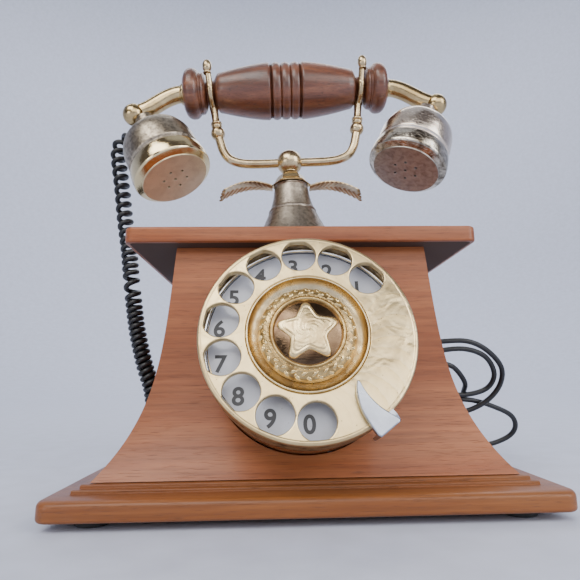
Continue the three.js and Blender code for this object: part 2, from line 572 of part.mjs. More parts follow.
function buildHandset() {
  const grip = turnedRing(gripProfile(), 20).rotateY(Math.PI / 2);
  add(handset, 'grip', grip, MAHOGANY);
  SIDES.forEach(([name, side]) => {
    const cup = cupFrame(side);
    const path = tubePath(side);
    add(handset, `${name}_tube`, wire(path, TUBE_RADIUS, 12, 14), BRASS);
    const socket = wire([...path, [side * 91.1, 0, -13.9]], TUBE_RADIUS + GAP, 14, 14);
    const elbow = ball(ELBOW.radius, 20).translate(side * ELBOW.x, 0, ELBOW.z);
    add(handset, `${name}_elbow_ball`, cut(elbow, socket), BRASS);

    const shell = turned([...CUP_HOLLOW, ...CUP_PROFILE], 28);
    const toCup = cup.matrixWorld.clone().invert().multiply(handset.matrixWorld);
    const clearance = wire([...path, [side * 98, 0, -16.4]], TUBE_RADIUS + GAP, 14, 14).applyMatrix4(toCup);
    const ballClearance = ball(ELBOW.radius + GAP, 20).translate(side * ELBOW.x, 0, ELBOW.z).applyMatrix4(toCup);
    const cuts = [clearance, ballClearance];
    if (side < 0) {
      const gland = handsetGlandFrame(cup);
      const toLocal = cup.matrixWorld.clone().invert().multiply(gland.matrixWorld);
      cuts.push(rod(3.4 + GAP, 30, 14).translate(0, 0, 28).applyMatrix4(toLocal));
      add(gland, 'handset_gland', turned([[0, 17], [3.4, 17], [3.4, 22.5], [4.6, 22.9], [4.6, 25], [2.6, 31],
        [0, 31]], 16), RUBBER);
    }
    add(cup, `${name}_cup`, cut(shell, ...cuts), NICKEL);
    add(cup, `${name}_cap`, cupCap(), NICKEL);
    add(cup, side < 0 ? 'transmitter_capsule' : 'receiver_capsule', turned([[0, 3.6], [18.6, 3.6], [18.6, 8],
      [15, 9], [15, 14], [0, 14]], 28), STEEL);
  });
}

// ---------------------------------------------------------------- inside the case
const FLOOR_Z = FOOT.height + BOTTOM_PLATE.thickness + GAP;

function buildInside() {
  const ringerY = 34;
  const postTop = 55;
  const posts = SIDES.map(([, side]) => rod(2.4, postTop - FLOOR_Z - 1, 14)
    .translate(side * 23, 0, (postTop - FLOOR_Z + 1) / 2));
  add(phone, 'ringer_frame', join(box(78, 22, 2).translate(0, 0, 1), ...posts), STEEL,
    [0, ringerY, FLOOR_Z]);
  const gong = turned([[0, 9.4], [6, 9], [12, 6.8], [15.6, 3], [16.6, -2], [17.8, -2], [16.9, 3.6],
    [12.8, 8], [6.4, 10.4], [0, 10.9]], 20);
  SIDES.forEach(([name, side]) => {
    add(phone, `${name}_gong`, gong.clone(), BRASS, [side * 23, ringerY, postTop + GAP - 9.4]);
  });
  add(phone, 'clapper', join(rod(1.2, 18, 10).translate(0, 0, 10), ball(3, 14).translate(0, 0, 21),
    box(9, 5, 3).translate(0, 0, 0.5)), STEEL, [0, ringerY, 27]);
  add(phone, 'ringer_coil', cut(rod(9, 30, 24).rotateY(Math.PI / 2), rod(3, 40, 14).rotateY(Math.PI / 2)),
    COPPER, [0, ringerY - 19, FLOOR_Z + 10]);
  add(phone, 'ringer_core', rod(3 - GAP, 36, 14).rotateY(Math.PI / 2), STEEL, [0, ringerY - 19, FLOOR_Z + 10]);
  add(phone, 'network_block', box(44, 30, 16), PHENOLIC, [-44, 8, FLOOR_Z + 8]);
  const rodEnd = STAND_Z - 42;
  add(phone, 'hook_switch', box(16, 18, 26), PHENOLIC, [34, CASE_Y, TOP_BOARD_Z - GAP - 13]);
  add(phone, 'switch_lever', box(28, 6, 1.2), BRASS, [11.2, CASE_Y, rodEnd - 1.4]);
}

// ---------------------------------------------------------------- cords
function buildGlands() {
  const [handsetSide, lineSide] = [-1, 1].map((side) => glandFrame(side));
  phone.add(handsetSide.turn, lineSide.turn);
  add(handsetSide.frame, 'handset_cord_gland', turned([[0, -6], [GLANDS.collar, -6], [GLANDS.collar, 7],
    [4.6, 8.4], [3.4, 14], [0, 14]], 18), RUBBER);
  add(lineSide.frame, 'line_cord_gland', turned([[0, -6], [GLANDS.collar, -6], [GLANDS.collar, 7],
    [4, 8.6], [2.6, 26], [0, 26]], 18), RUBBER);
}

const CURLY_ROUTE = [[-97.3, 26.3, 191.7], [-99.4, 29.9, 191.5], [-102.2, 34.7, 193.8], [-103.6, 37, 199.5],
  [-104.4, 37.6, 206], [-104.8, 37.8, 212.4], [-106.7, 38, 218], [-111.6, 38.6, 220.3], [-116.7, 37.9, 218], [-118.8, 36.9, 212.6], [-118.6, 36, 206],
  [-117.2, 35, 198], [-115, 33, 188], [-112.6, 30.8, 176], [-109.4, 28, 158], [-105.4, 25.8, 138],
  [-103.2, 25, 122], [-100.6, 24.8, 104],
  [-97.6, 24.9, 86], [-92.6, 25.4, 66], [-88.6, 27.4, 53], [-88, 33, 41], [-91, 42.4, 31.4], [-96, 53.4, 23.8],
  [-99.6, 65, 19.8], [-100.2, 75, 19.2], [-97.6, 82.2, 19.2], [-91, 86.4, 19.2], [-82.4, 87.2, 19.4],
  [-73.6, 86.6, 20.4], [-66.4, 83.6, 22.8], [-60.6, 79.4, 25.6]];

// The line cord drops to the floor behind the plinth and stands in loose loops that lean on the
// case's rear right edge, then runs along the floor to its put-away coil.
const LINE_ROUTE = [[67.8, 85.6, 26], [72, 90.4, 24.4], [78, 95.6, 16], [89, 99.8, 5.6], [104, 102, 2.4],
  [122, 101.6, 2.4], [138, 98.6, 4.8], [151, 96, 8], [160.6, 93, 13.4], [163.4, 89.8, 20.4],
  [159, 86.2, 28], [146, 82.2, 34.2], [129, 79.4, 39.4], [108, 78, 41.4], [86, 75.6, 44.4],
  [69, 70.6, 51.6], [62.4, 65.4, 62], [69, 60.6, 72.4], [86, 57.8, 78.4], [104, 56.8, 80.6],
  [120, 56.8, 80.2], [134, 60, 74], [145.2, 65.2, 62.6], [145.6, 71, 50], [136.4, 75.4, 38.6],
  [121, 79.8, 31.6], [101, 81.2, 33], [86, 80.8, 38.6], [77, 77.4, 48], [75.6, 71.8, 58], [82.6, 65, 68.6],
  [97, 60.6, 73.6], [117, 59.8, 75.4], [133, 62.2, 70], [141.2, 68.4, 58], [137.4, 74.4, 47.8],
  [122, 76.2, 43.6], [105, 74.6, 45.6], [94.4, 71.6, 51], [92.2, 68, 59], [99, 65, 65.2],
  [111, 66.2, 63.4], [121, 72.2, 53], [123.6, 81.6, 46], [122, 84.8, 39.6], [118.4, 88.4, 32.4],
  [111, 92.6, 23.6], [101, 97.8, 15.4], [89, 103.4, 9.8], [77, 108.6, 4.4], [63, 109.6, 2.3],
  [48, 107.6, 2.3], [34, 105.2, 2.3], [21.4, 103.9, 2.3]];

function buildCords() {
  add(phone, 'handset_cord', wire(CURLY_ROUTE, CURLY_DIAMETER / 2, 40, 10), CORD_BLACK);
  add(phone, 'line_cord', wire(LINE_ROUTE, LINE_DIAMETER / 2, 80, 8), CORD_BLACK);
  const { meanRadius, halfWidth, height } = LINE_COIL;
  add(phone, 'line_cord_coil', turnedRing([[meanRadius - halfWidth, 0.2], [meanRadius + halfWidth, 0.2],
    [meanRadius + halfWidth, height], [meanRadius - halfWidth, height]], 32), CORD_BLACK,
  [LINE_COIL.x, LINE_COIL.y, 0]);
  add(phone, 'line_plug', join(box(11.6, 21, 6.4), box(6, 12, 1.2).translate(0, 1, 3.6)), CHROME,
    [LINE_COIL.x - 34, LINE_COIL.y, 3.4]);
}

buildCase();
buildDial();
buildStand();
buildHandset();
buildInside();
buildGlands();
buildCords();

export default phone;
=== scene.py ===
import json
import math

import bmesh
import bpy
from mathutils import Matrix, Vector


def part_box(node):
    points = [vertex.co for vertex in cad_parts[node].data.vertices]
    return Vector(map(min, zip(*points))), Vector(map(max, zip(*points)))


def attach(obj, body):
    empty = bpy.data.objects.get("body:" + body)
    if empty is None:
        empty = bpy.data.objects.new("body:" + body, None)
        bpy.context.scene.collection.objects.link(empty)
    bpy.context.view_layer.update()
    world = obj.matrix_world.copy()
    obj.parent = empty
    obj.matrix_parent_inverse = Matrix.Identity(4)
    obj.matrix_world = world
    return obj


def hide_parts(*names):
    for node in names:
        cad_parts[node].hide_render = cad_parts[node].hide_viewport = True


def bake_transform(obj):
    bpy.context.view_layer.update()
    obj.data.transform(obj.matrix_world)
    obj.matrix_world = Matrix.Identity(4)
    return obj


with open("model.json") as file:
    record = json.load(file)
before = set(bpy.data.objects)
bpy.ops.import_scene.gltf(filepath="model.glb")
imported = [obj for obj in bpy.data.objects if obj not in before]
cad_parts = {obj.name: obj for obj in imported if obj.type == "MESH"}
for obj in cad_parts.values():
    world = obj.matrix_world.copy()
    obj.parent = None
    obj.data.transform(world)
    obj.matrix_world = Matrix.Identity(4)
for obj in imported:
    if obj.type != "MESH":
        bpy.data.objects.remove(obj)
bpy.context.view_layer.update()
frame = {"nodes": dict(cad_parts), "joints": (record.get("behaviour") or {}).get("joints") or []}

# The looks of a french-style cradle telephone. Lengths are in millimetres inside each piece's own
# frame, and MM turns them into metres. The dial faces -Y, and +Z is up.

MM = 0.001
SIDES = (("left", -1), ("right", 1))
X_AXIS, Y_AXIS, Z_AXIS = Vector((1, 0, 0)), Vector((0, 1, 0)), Vector((0, 0, 1))

# ---------------------------------------------------------------- frames of the dial, stand and handset
joints = {joint["name"]: joint for joint in frame["joints"]}


def frame_at(origin, x, z):
    """A placing matrix with its X along x and its Z along z."""
    return Matrix.Translation(origin) @ Matrix((x, z.cross(x), z)).transposed().to_4x4()


DIAL_OUT = -Vector(joints["dial_spin"]["axis"])
DIAL = frame_at(Vector(joints["dial_spin"]["pos_m"]), X_AXIS, DIAL_OUT)

STAND_UP = Vector(joints["handset_lift"]["axis"])
TOP_LOW, TOP_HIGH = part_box("top_board")
STAND_X = -1.2
CASE_Y = (TOP_LOW.y + TOP_HIGH.y) / 2 / MM
STAND = frame_at(Vector((STAND_X * MM, CASE_Y * MM, TOP_HIGH.z)), Y_AXIS.cross(STAND_UP), STAND_UP)

HANDLE_Z = 108.3
HANDSET_ROLL = math.radians(-12)
HANDSET = STAND @ Matrix.Translation((0, 0, HANDLE_Z * MM)) @ Matrix.Rotation(HANDSET_ROLL, 4, "X")

# ---------------------------------------------------------------- sizes that the pieces share
FEET_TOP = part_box("plinth")[0].z / MM
PLINTH_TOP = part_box("plinth")[1].z / MM
BODY_LOW, BODY_HIGH = (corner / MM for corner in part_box("front_panel"))
TOP_HALF_WIDTH, TOP_HALF_DEPTH, WALL = 61.9, 47.0, 8.0
FLARE_SLOPE, FLARE_SWEEP, FLARE_POWER, DEPTH_SHARE = 0.085, 20.6, 4.4, 0.607
WHEEL_RADIUS, HOLE_RADIUS, HOLE_CIRCLE = 45.5, 7.6, 36.4
FIRST_HOLE, HOLE_STEP, DIGITS = 43.1, 25.6, "1234567890"
PLATE_DEPTH = 8.5
CUP_FACE_X, CUP_FACE_Z, CUP_LEAN = 67.9, -64.2, 24.2
ELBOW_X, ELBOW_Z, ELBOW_RADIUS = 95.0, -15.2, 6.8
GRIP_END = 64.2


# ---------------------------------------------------------------- camera
def add_camera():
    """The camera stands close in front, a little to the left, and looks up at the telephone."""
    position = Vector((-13.7, -271.6, 57.25)) * MM
    yaw, pitch, roll = math.radians(1.9), math.radians(10.36), math.radians(0.8)
    turn = (Matrix.Rotation(-yaw, 4, "Z") @ Matrix.Rotation(math.pi / 2 + pitch, 4, "X")
            @ Matrix.Rotation(-roll, 4, "Z"))
    data = bpy.data.cameras.new("camera")
    data.sensor_width = 36.0
    data.lens = 29.79
    data.clip_start = 0.01
    data.clip_end = 50
    camera = bpy.data.objects.new("camera", data)
    bpy.context.scene.collection.objects.link(camera)
    camera.matrix_world = Matrix.Translation(position) @ turn
    bpy.context.scene.camera = camera


# ---------------------------------------------------------------- shader helpers
class Shader:
    """A material built from nodes, measured in metres of the piece's own frame."""

    def __init__(self, name):
        self.material = bpy.data.materials.new(name)
        self.material.use_nodes = True
        self.tree = self.material.node_tree
        self.tree.nodes.clear()
        output = self.node("ShaderNodeOutputMaterial")
        self.surface = self.node("ShaderNodeBsdfPrincipled")
        self.tree.links.new(self.surface.outputs[0], output.inputs["Surface"])
        self.coords = self.node("ShaderNodeTexCoord").outputs["Object"]

    def node(self, kind, **settings):
        made = self.tree.nodes.new(kind)
        for key, value in settings.items():
            setattr(made, key, value)
        return made

    def feed(self, socket, value):
        if hasattr(value, "is_output"):
            self.tree.links.new(value, socket)
        else:
            socket.default_value = value

    def set(self, **inputs):
        for key, value in inputs.items():
            self.feed(self.surface.inputs[key.replace("_", " ")], value)

    def stretched(self, scale, turn=(0, 0, 0)):
        mapping = self.node("ShaderNodeMapping")
        self.feed(mapping.inputs["Vector"], self.coords)
        mapping.inputs["Scale"].default_value = scale
        mapping.inputs["Rotation"].default_value = [math.radians(angle) for angle in turn]
        return mapping.outputs[0]

    def noise(self, scale, detail=4, rough=0.5, distort=0.0, turn=(0, 0, 0)):
        """Noise whose features are 1/scale metres; scale is one number or one for each axis."""
        scales = (scale,) * 3 if isinstance(scale, (int, float)) else scale
        made = self.node("ShaderNodeTexNoise")
        self.feed(made.inputs["Vector"], self.stretched(scales, turn))
        made.inputs["Scale"].default_value = 1
        made.inputs["Detail"].default_value = detail
        made.inputs["Roughness"].default_value = rough
        made.inputs["Distortion"].default_value = distort
        return made.outputs["Fac"]

    def spots(self, scale, turn=(0, 0, 0)):
        scales = (scale,) * 3 if isinstance(scale, (int, float)) else scale
        made = self.node("ShaderNodeTexVoronoi")
        self.feed(made.inputs["Vector"], self.stretched(scales, turn))
        made.inputs["Scale"].default_value = 1
        return made.outputs["Distance"]

    def ramp(self, value, *stops):
        """A colour ramp; each stop is (position, grey) or (position, (r, g, b))."""
        made = self.node("ShaderNodeValToRGB")
        self.feed(made.inputs[0], value)
        elements = made.color_ramp.elements
        while len(elements) < len(stops):
            elements.new(0.5)
        for element, (position, colour) in zip(elements, stops):
            element.position = position
            tone = (colour,) * 3 if isinstance(colour, (int, float)) else colour
            element.color = (*tone, 1)
        return made.outputs[0]

    def mix(self, share, one, other, how="MIX"):
        made = self.node("ShaderNodeMix", data_type="RGBA", blend_type=how)
        for socket, value in ((made.inputs[0], share), (made.inputs[6], one), (made.inputs[7], other)):
            self.feed(socket, (*value, 1) if isinstance(value, tuple) and len(value) == 3 else value)
        return made.outputs[2]

    def math(self, how, one, other=0.0):
        made = self.node("ShaderNodeMath", operation=how)
        self.feed(made.inputs[0], one)
        self.feed(made.inputs[1], other)
        return made.outputs[0]

    def range(self, value, low, high):
        made = self.node("ShaderNodeMapRange")
        self.feed(made.inputs["Value"], value)
        made.inputs["To Min"].default_value = low
        made.inputs["To Max"].default_value = high
        return made.outputs[0]

    def radius(self):
        """The distance from the piece's own Z axis, in metres."""
        flat = self.node("ShaderNodeVectorMath", operation="MULTIPLY")
        self.feed(flat.inputs[0], self.coords)
        flat.inputs[1].default_value = (1, 1, 0)
        length = self.node("ShaderNodeVectorMath", operation="LENGTH")
        self.feed(length.inputs[0], flat.outputs[0])
        return length.outputs["Value"]

    def turning(self, per_metre):
        """Fine turning rings round the piece's own Z axis."""
        made = self.node("ShaderNodeTexNoise", noise_dimensions="1D")
        along = self.node("ShaderNodeSeparateXYZ")
        self.feed(along.inputs[0], self.coords)
        place = self.math("ADD", self.radius(), self.math("MULTIPLY", along.outputs[2], 1.7))
        self.feed(made.inputs["W"], place)
        made.inputs["Scale"].default_value = per_metre
        made.inputs["Detail"].default_value = 3
        return made.outputs["Fac"]

    def bump(self, *layers):
        """Bump from (height, depth in metres) layers."""
        normal = None
        for height, depth in layers:
            made = self.node("ShaderNodeBump")
            made.inputs["Strength"].default_value = 1
            made.inputs["Distance"].default_value = depth
            self.feed(made.inputs["Height"], height)
            if normal is not None:
                self.feed(made.inputs["Normal"], normal)
            normal = made.outputs[0]
        self.feed(self.surface.inputs["Normal"], normal)


# ---------------------------------------------------------------- materials
def along_axis(along, across, axis):
    return tuple(along if letter == axis else across for letter in "XYZ")


def lacquered_wood(name, axis, tint=(1.0, 1.0, 1.0), gloss=0.22):
    """Reddish-orange veneer under satin lacquer, its grain along one axis."""
    wood = Shader(name)
    bands = wood.noise(along_axis(4, 42, axis), detail=3, distort=0.6)
    streaks = wood.noise(along_axis(14, 620, axis), detail=6, rough=0.62)
    figure = wood.noise(along_axis(9, 150, axis), detail=5, rough=0.6, distort=0.4)
    pores = wood.ramp(wood.noise(along_axis(110, 3300, axis), detail=2), (0.3, 1.0), (0.4, 0.0))
    dark, mid, light, pore = (tuple(part * share for part, share in zip(tone, tint)) for tone in (
        (0.19, 0.045, 0.012), (0.345, 0.1, 0.03), (0.47, 0.17, 0.062),
        (0.085, 0.024, 0.01)))
    tone = wood.ramp(bands, (0.25, dark), (0.5, mid), (0.78, light))
    tone = wood.mix(0.42, tone, wood.ramp(figure, (0.3, dark), (0.7, light)))
    tone = wood.mix(0.55, tone, wood.ramp(streaks, (0.32, 0.42), (0.68, 1.0)), "MULTIPLY")
    tone = wood.mix(wood.math("MULTIPLY", pores, 0.6), tone, pore)
    smudges = wood.noise(16, detail=4, distort=0.5)
    wood.set(Base_Color=tone, Roughness=wood.range(smudges, 0.34, 0.5), Specular_IOR_Level=0.3,
             Coat_Weight=gloss, Coat_Roughness=0.22, Sheen_Weight=0.02, Sheen_Roughness=0.4,
             Sheen_Tint=(1.0, 0.72, 0.68, 1))
    wood.bump((streaks, 0.00006), (pores, -0.00005), (smudges, 0.0002))
    return wood.material


def mahogany():
    """Dark glossy red-brown wood with its grain along the handle."""
    wood = Shader("mahogany")
    bands = wood.noise((12, 120, 120), detail=4, distort=0.8)
    streaks = wood.noise((45, 900, 900), detail=5, rough=0.65)
    pores = wood.ramp(wood.noise((160, 2600, 2600), detail=2), (0.33, 1.0), (0.43, 0.0))
    tone = wood.ramp(bands, (0.28, (0.07, 0.02, 0.009)), (0.52, (0.17, 0.054, 0.024)),
                     (0.76, (0.29, 0.11, 0.048)))
    tone = wood.mix(0.6, tone, wood.ramp(streaks, (0.3, 0.35), (0.7, 1.0)), "MULTIPLY")
    tone = wood.mix(wood.math("MULTIPLY", pores, 0.6), tone, (0.018, 0.006, 0.004))
    wood.set(Base_Color=tone, Roughness=wood.range(wood.noise(60), 0.28, 0.42), Coat_Weight=0.35,
             Coat_Roughness=0.22)
    wood.bump((streaks, 0.00005), (pores, -0.00004))
    return wood.material


def metal(name, light, dark, rough=(0.16, 0.34), tarnish=0.35, rings=0.0, blotch=70, scratch=0.6):
    """Worn plated metal: two tones in blotches, fine scratches, dark specks, turning rings."""
    shader = Shader(name)
    blotches = shader.noise(blotch, detail=6, rough=0.6, distort=0.5)
    fine = shader.noise(900, detail=3)
    lines = [shader.ramp(shader.noise((60, 5200, 2100), detail=2, turn=turn), (0.6, 0.0), (0.68, 1.0))
             for turn in ((0, 0, 20), (35, 10, 75), (80, 40, 130))]
    scratches = shader.math("ADD", shader.math("ADD", lines[0], lines[1]), lines[2])
    specks = shader.ramp(shader.spots(420), (0.06, 1.0), (0.13, 0.0))
    dull = shader.ramp(blotches, (0.42, 0.0), (0.66, 1.0))
    tone = shader.mix(shader.math("MULTIPLY", dull, tarnish), light, dark)
    tone = shader.mix(shader.math("MULTIPLY", specks, 0.5 * tarnish), tone,
                      tuple(0.25 * part for part in dark))
    base = shader.range(blotches, *rough)
    roughness = shader.math("ADD", base, shader.math("MULTIPLY", scratches, 0.12 * scratch))
    shader.set(Base_Color=tone, Metallic=1.0, Roughness=roughness)
    layers = [(blotches, 0.00012), (fine, 0.000008), (scratches, -0.000006 * scratch)]
    if rings:
        layers.append((shader.turning(2600), rings))
    shader.bump(*layers)
    return shader.material


def dial_metal():
    """Brass cast in shallow scales that overlap round the dial, then polished; dirt at the rim."""
    shader = Shader("dial_metal")
    place = shader.node("ShaderNodeSeparateXYZ")
    shader.feed(place.inputs[0], shader.coords)
    around = shader.math("ARCTAN2", place.outputs[1], place.outputs[0])
    blotches = shader.noise(55, detail=6, rough=0.65, distort=0.4)
    waves = shader.noise(110, detail=2, distort=0.5)
    off_centre = shader.math("SUBTRACT", shader.radius(), 0.036)
    bow = shader.math("MULTIPLY", shader.math("MULTIPLY", off_centre, off_centre), -9000)
    turns = shader.math("ADD", shader.math("MULTIPLY", around, -7.4), bow)
    turns = shader.math("ADD", turns, shader.math("MULTIPLY", waves, 0.9))
    scale = shader.math("FRACT", turns)
    solid_part = shader.ramp(shader.math("MULTIPLY", shader.math("ADD", around, 1.1), 0.5),
                             (0.0, 0.25), (0.1, 1.0), (0.78, 1.0), (0.9, 0.25))
    scale = shader.math("MULTIPLY", scale, solid_part)
    fine = shader.noise(700, detail=3)
    grime = shader.ramp(shader.noise(38, detail=7, rough=0.7), (0.55, 0.0), (0.75, 1.0))
    edge = shader.ramp(shader.radius(), (0.0446, 0.0), (0.0456, 1.0))
    specks = shader.ramp(shader.spots(380), (0.05, 1.0), (0.12, 0.0))
    tone = shader.mix(shader.ramp(blotches, (0.35, 0.0), (0.7, 0.8)), (0.84, 0.66, 0.35), (0.66, 0.47, 0.21))
    tone = shader.mix(shader.math("MULTIPLY", scale, 0.22), tone, (0.95, 0.86, 0.62))
    tone = shader.mix(shader.math("MULTIPLY", grime, 0.42), tone, (0.3, 0.2, 0.09))
    tone = shader.mix(shader.math("MULTIPLY", specks, 0.7), tone, (0.16, 0.1, 0.05))
    tone = shader.mix(shader.math("MULTIPLY", edge, shader.range(blotches, 0.2, 1.0)), tone, (0.2, 0.13, 0.07))
    shader.set(Base_Color=tone, Metallic=1.0, Roughness=shader.range(blotches, 0.22, 0.4))
    shader.bump((scale, 0.0004), (blotches, 0.00014), (waves, 0.0002), (fine, 0.00002))
    return shader.material


def enamel():
    shader = Shader("enamel")
    stains = shader.noise(80, detail=6, rough=0.6)
    specks = shader.ramp(shader.spots(260), (0.04, 1.0), (0.1, 0.0))
    tone = shader.mix(shader.ramp(stains, (0.45, 0.0), (0.8, 0.5)), (0.44, 0.46, 0.52), (0.3, 0.31, 0.34))
    tone = shader.mix(shader.math("MULTIPLY", specks, 0.4), tone, (0.16, 0.15, 0.15))
    shader.set(Base_Color=tone, Roughness=shader.range(stains, 0.25, 0.42), Coat_Weight=0.3)
    shader.bump((shader.noise(500), 0.00001))
    return shader.material


def matt(name, tone, rough, bump_scale, depth, coat=0.0, metallic=0.0):
    """A plain moulded or painted surface with mottled colour and a fine texture."""
    shader = Shader(name)
    mottle = shader.noise(60, detail=5)
    light = tuple(min(1.0, 1.35 * part + 0.004) for part in tone)
    shader.set(Base_Color=shader.mix(shader.range(mottle, 0.0, 0.8), tone, light), Metallic=metallic,
               Roughness=shader.range(mottle, rough - 0.06, rough + 0.08), Coat_Weight=coat)
    shader.bump((shader.noise(bump_scale, detail=3), depth))
    return shader.material


BRASS_LIGHT, BRASS_DARK = (0.6, 0.46, 0.24), (0.26, 0.17, 0.07)
MATERIALS = {
    "wood_x": lacquered_wood("wood_x", "X"),
    # painted shade: a near-black matt finish for the sheet under the top slab, darkening it as if in shadow
    "underside_shade": matt("underside_shade", (0.05, 0.026, 0.018), 0.85, 900, 0.00004),
    "wood_y": lacquered_wood("wood_y", "Y"),
    "wood_plinth": lacquered_wood("wood_plinth", "X", (0.66, 0.7, 0.55), 0.15),
    "mahogany": mahogany(),
    "dial_metal": dial_metal(),
    "dish_brass": metal("dish_brass", (0.7, 0.57, 0.34), (0.36, 0.27, 0.15), (0.2, 0.36), 0.7, 0.00002),
    "medallion_gold": metal("medallion_gold", (0.74, 0.56, 0.27), (0.4, 0.26, 0.11), (0.14, 0.3), 0.6),
    "medallion_dark": metal("medallion_dark", (0.2, 0.13, 0.075), (0.07, 0.04, 0.025), (0.1, 0.22), 0.9),
    "medallion_antique": metal("medallion_antique", (0.55, 0.39, 0.17), (0.22, 0.13, 0.05), (0.2, 0.36), 0.9, 0.0,
                               160),
    "star_gold": metal("star_gold", (0.82, 0.64, 0.34), (0.5, 0.33, 0.15), (0.2, 0.36), 0.6, 0.0, 260),
    "skirt_brass": metal("skirt_brass", (0.42, 0.31, 0.17), (0.08, 0.055, 0.035), (0.35, 0.6), 0.9, 0.0, 180),
    "bright_brass": metal("bright_brass", BRASS_LIGHT, BRASS_DARK, (0.12, 0.26), 0.6),
    "wing_brass": metal("wing_brass", (0.62, 0.48, 0.28), (0.25, 0.16, 0.08), (0.26, 0.44), 0.8),
    "bell_nickel": metal("bell_nickel", (0.36, 0.31, 0.25), (0.15, 0.125, 0.1), (0.28, 0.46), 0.8, 0.00003, 420),
    "fork_brass": metal("fork_brass", (0.6, 0.47, 0.28), (0.26, 0.18, 0.09), (0.16, 0.32), 0.6),
    "cup_gold": metal("cup_gold", (0.4, 0.34, 0.26), (0.12, 0.095, 0.07), (0.22, 0.4), 0.85, 0.00001, 420, 1.4),
    "cup_silver": metal("cup_silver", (0.8, 0.7, 0.6), (0.5, 0.4, 0.32), (0.12, 0.28), 0.6, 0.00001, 110, 1.0),
    "cup_band": metal("cup_band", (0.76, 0.62, 0.36), (0.45, 0.33, 0.16), (0.05, 0.14), 0.35, 0.00002, 60),
    "cup_band_dark": metal("cup_band_dark", (0.66, 0.6, 0.5), (0.12, 0.095, 0.07), (0.08, 0.26), 1.0, 0.0, 150, 1.6),
    "cup_face": metal("cup_face", (0.76, 0.67, 0.47), (0.52, 0.43, 0.28), (0.34, 0.5), 0.5, 0.0, 120),
    "cup_face_dull": metal("cup_face_dull", (0.42, 0.4, 0.36), (0.2, 0.18, 0.16), (0.34, 0.5), 0.7, 0.0, 260),
    "steel": metal("steel", (0.5, 0.54, 0.62), (0.28, 0.3, 0.35), (0.2, 0.36), 0.4),
    "chrome": metal("chrome", (0.8, 0.82, 0.86), (0.5, 0.52, 0.56), (0.05, 0.14), 0.3),
    "copper": metal("copper", (0.6, 0.26, 0.13), (0.3, 0.11, 0.05), (0.3, 0.5), 0.5),
    "enamel": enamel(),
    "ink": matt("ink", (0.022, 0.023, 0.028), 0.45, 900, 0.000006),
    "rubber": matt("rubber", (0.014, 0.014, 0.015), 0.62, 1500, 0.00003),
    "cord_black": matt("cord_black", (0.004, 0.004, 0.005), 0.42, 1200, 0.00001, 0.1),
    # painted shade: near-black finish for the disc behind the cup faces' holes
    "hole_shade": matt("hole_shade", (0.006, 0.005, 0.004), 0.8, 900, 0.00001),
    "plug_clear": matt("plug_clear", (0.5, 0.52, 0.53), 0.16, 700, 0.00001, 0.5),
    "phenolic": matt("phenolic", (0.04, 0.022, 0.016), 0.3, 800, 0.00001, 0.3),
    "floor": matt("floor", (0.46, 0.485, 0.57), 0.6, 400, 0.00002),
    "room": matt("room", (0.09, 0.075, 0.065), 0.8, 3, 0.001),
}


# ---------------------------------------------------------------- shape helpers
def piece(name, mesh, place, material, body, replaced=(), sharp=35, bevel=0.0):
    """Puts a mesh made in millimetres in the scene as a piece that rides on a body."""
    mesh.transform(Matrix.Scale(MM, 4))
    mesh.name = name
    mesh.materials.clear()
    mesh.materials.append(MATERIALS[material])
    for face in mesh.polygons:
        face.use_smooth = True
    mesh.set_sharp_from_angle(angle=math.radians(sharp))
    made = bpy.data.objects.new(name, mesh)
    bpy.context.scene.collection.objects.link(made)
    made.matrix_world = place
    if bevel:
        edge = made.modifiers.new("bevel", "BEVEL")
        edge.width = bevel * MM
        edge.segments = 2
        edge.limit_method = "ANGLE"
        edge.angle_limit = math.radians(40)
    bpy.context.view_layer.update()
    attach(made, body)
    if replaced:
        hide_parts(*replaced)
    return made


def mesh_of(vertices, faces, name="mesh"):
    mesh = bpy.data.meshes.new(name)
    mesh.from_pydata([tuple(vertex) for vertex in vertices], [], faces)
    tidy = bmesh.new()
    tidy.from_mesh(mesh)
    bmesh.ops.remove_doubles(tidy, verts=tidy.verts, dist=1e-5)
    bmesh.ops.dissolve_degenerate(tidy, edges=tidy.edges, dist=1e-6)
    bmesh.ops.recalc_face_normals(tidy, faces=tidy.faces)
    tidy.to_mesh(mesh)
    tidy.free()
    return mesh


def merged(*meshes):
    """One mesh of several, each left where it is."""
    joined = bmesh.new()
    for mesh in meshes:
        joined.from_mesh(mesh)
    result = bpy.data.meshes.new("merged")
    joined.to_mesh(result)
    joined.free()
    return result


def moved(mesh, matrix):
    mesh.transform(matrix)
    return mesh


def filleted(points, arc_steps=5):
    """The points with each corner that carries a third number rounded by that radius."""
    result = []
    for index, point in enumerate(points):
        corner = Vector(point[:2])
        radius = point[2] if len(point) > 2 else 0
        if not radius or index in (0, len(points) - 1):
            result.append(tuple(corner))
            continue
        before = Vector(points[index - 1][:2]) - corner
        after = Vector(points[index + 1][:2]) - corner
        reach = min(radius, 0.48 * before.length, 0.48 * after.length)
        start, end = corner + before.normalized() * reach, corner + after.normalized() * reach
        for step in range(arc_steps + 1):
            share = step / arc_steps
            result.append(tuple((1 - share) ** 2 * start + 2 * share * (1 - share) * corner + share ** 2 * end))
    return result


def smooth_through(points, per_span=8):
    """Points on a Catmull-Rom curve through the given ones, in two or three dimensions."""
    knots = [Vector(point) for point in points]
    knots = [2 * knots[0] - knots[1], *knots, 2 * knots[-1] - knots[-2]]
    result = []
    for a, b, c, d in zip(knots, knots[1:], knots[2:], knots[3:]):
        for step in range(per_span):
            t = step / per_span
            result.append(0.5 * (2 * b + (c - a) * t + (2 * a - 5 * b + 4 * c - d) * t ** 2
                                 + (3 * b - a - 3 * c + d) * t ** 3))
    return [*result, knots[-2]]


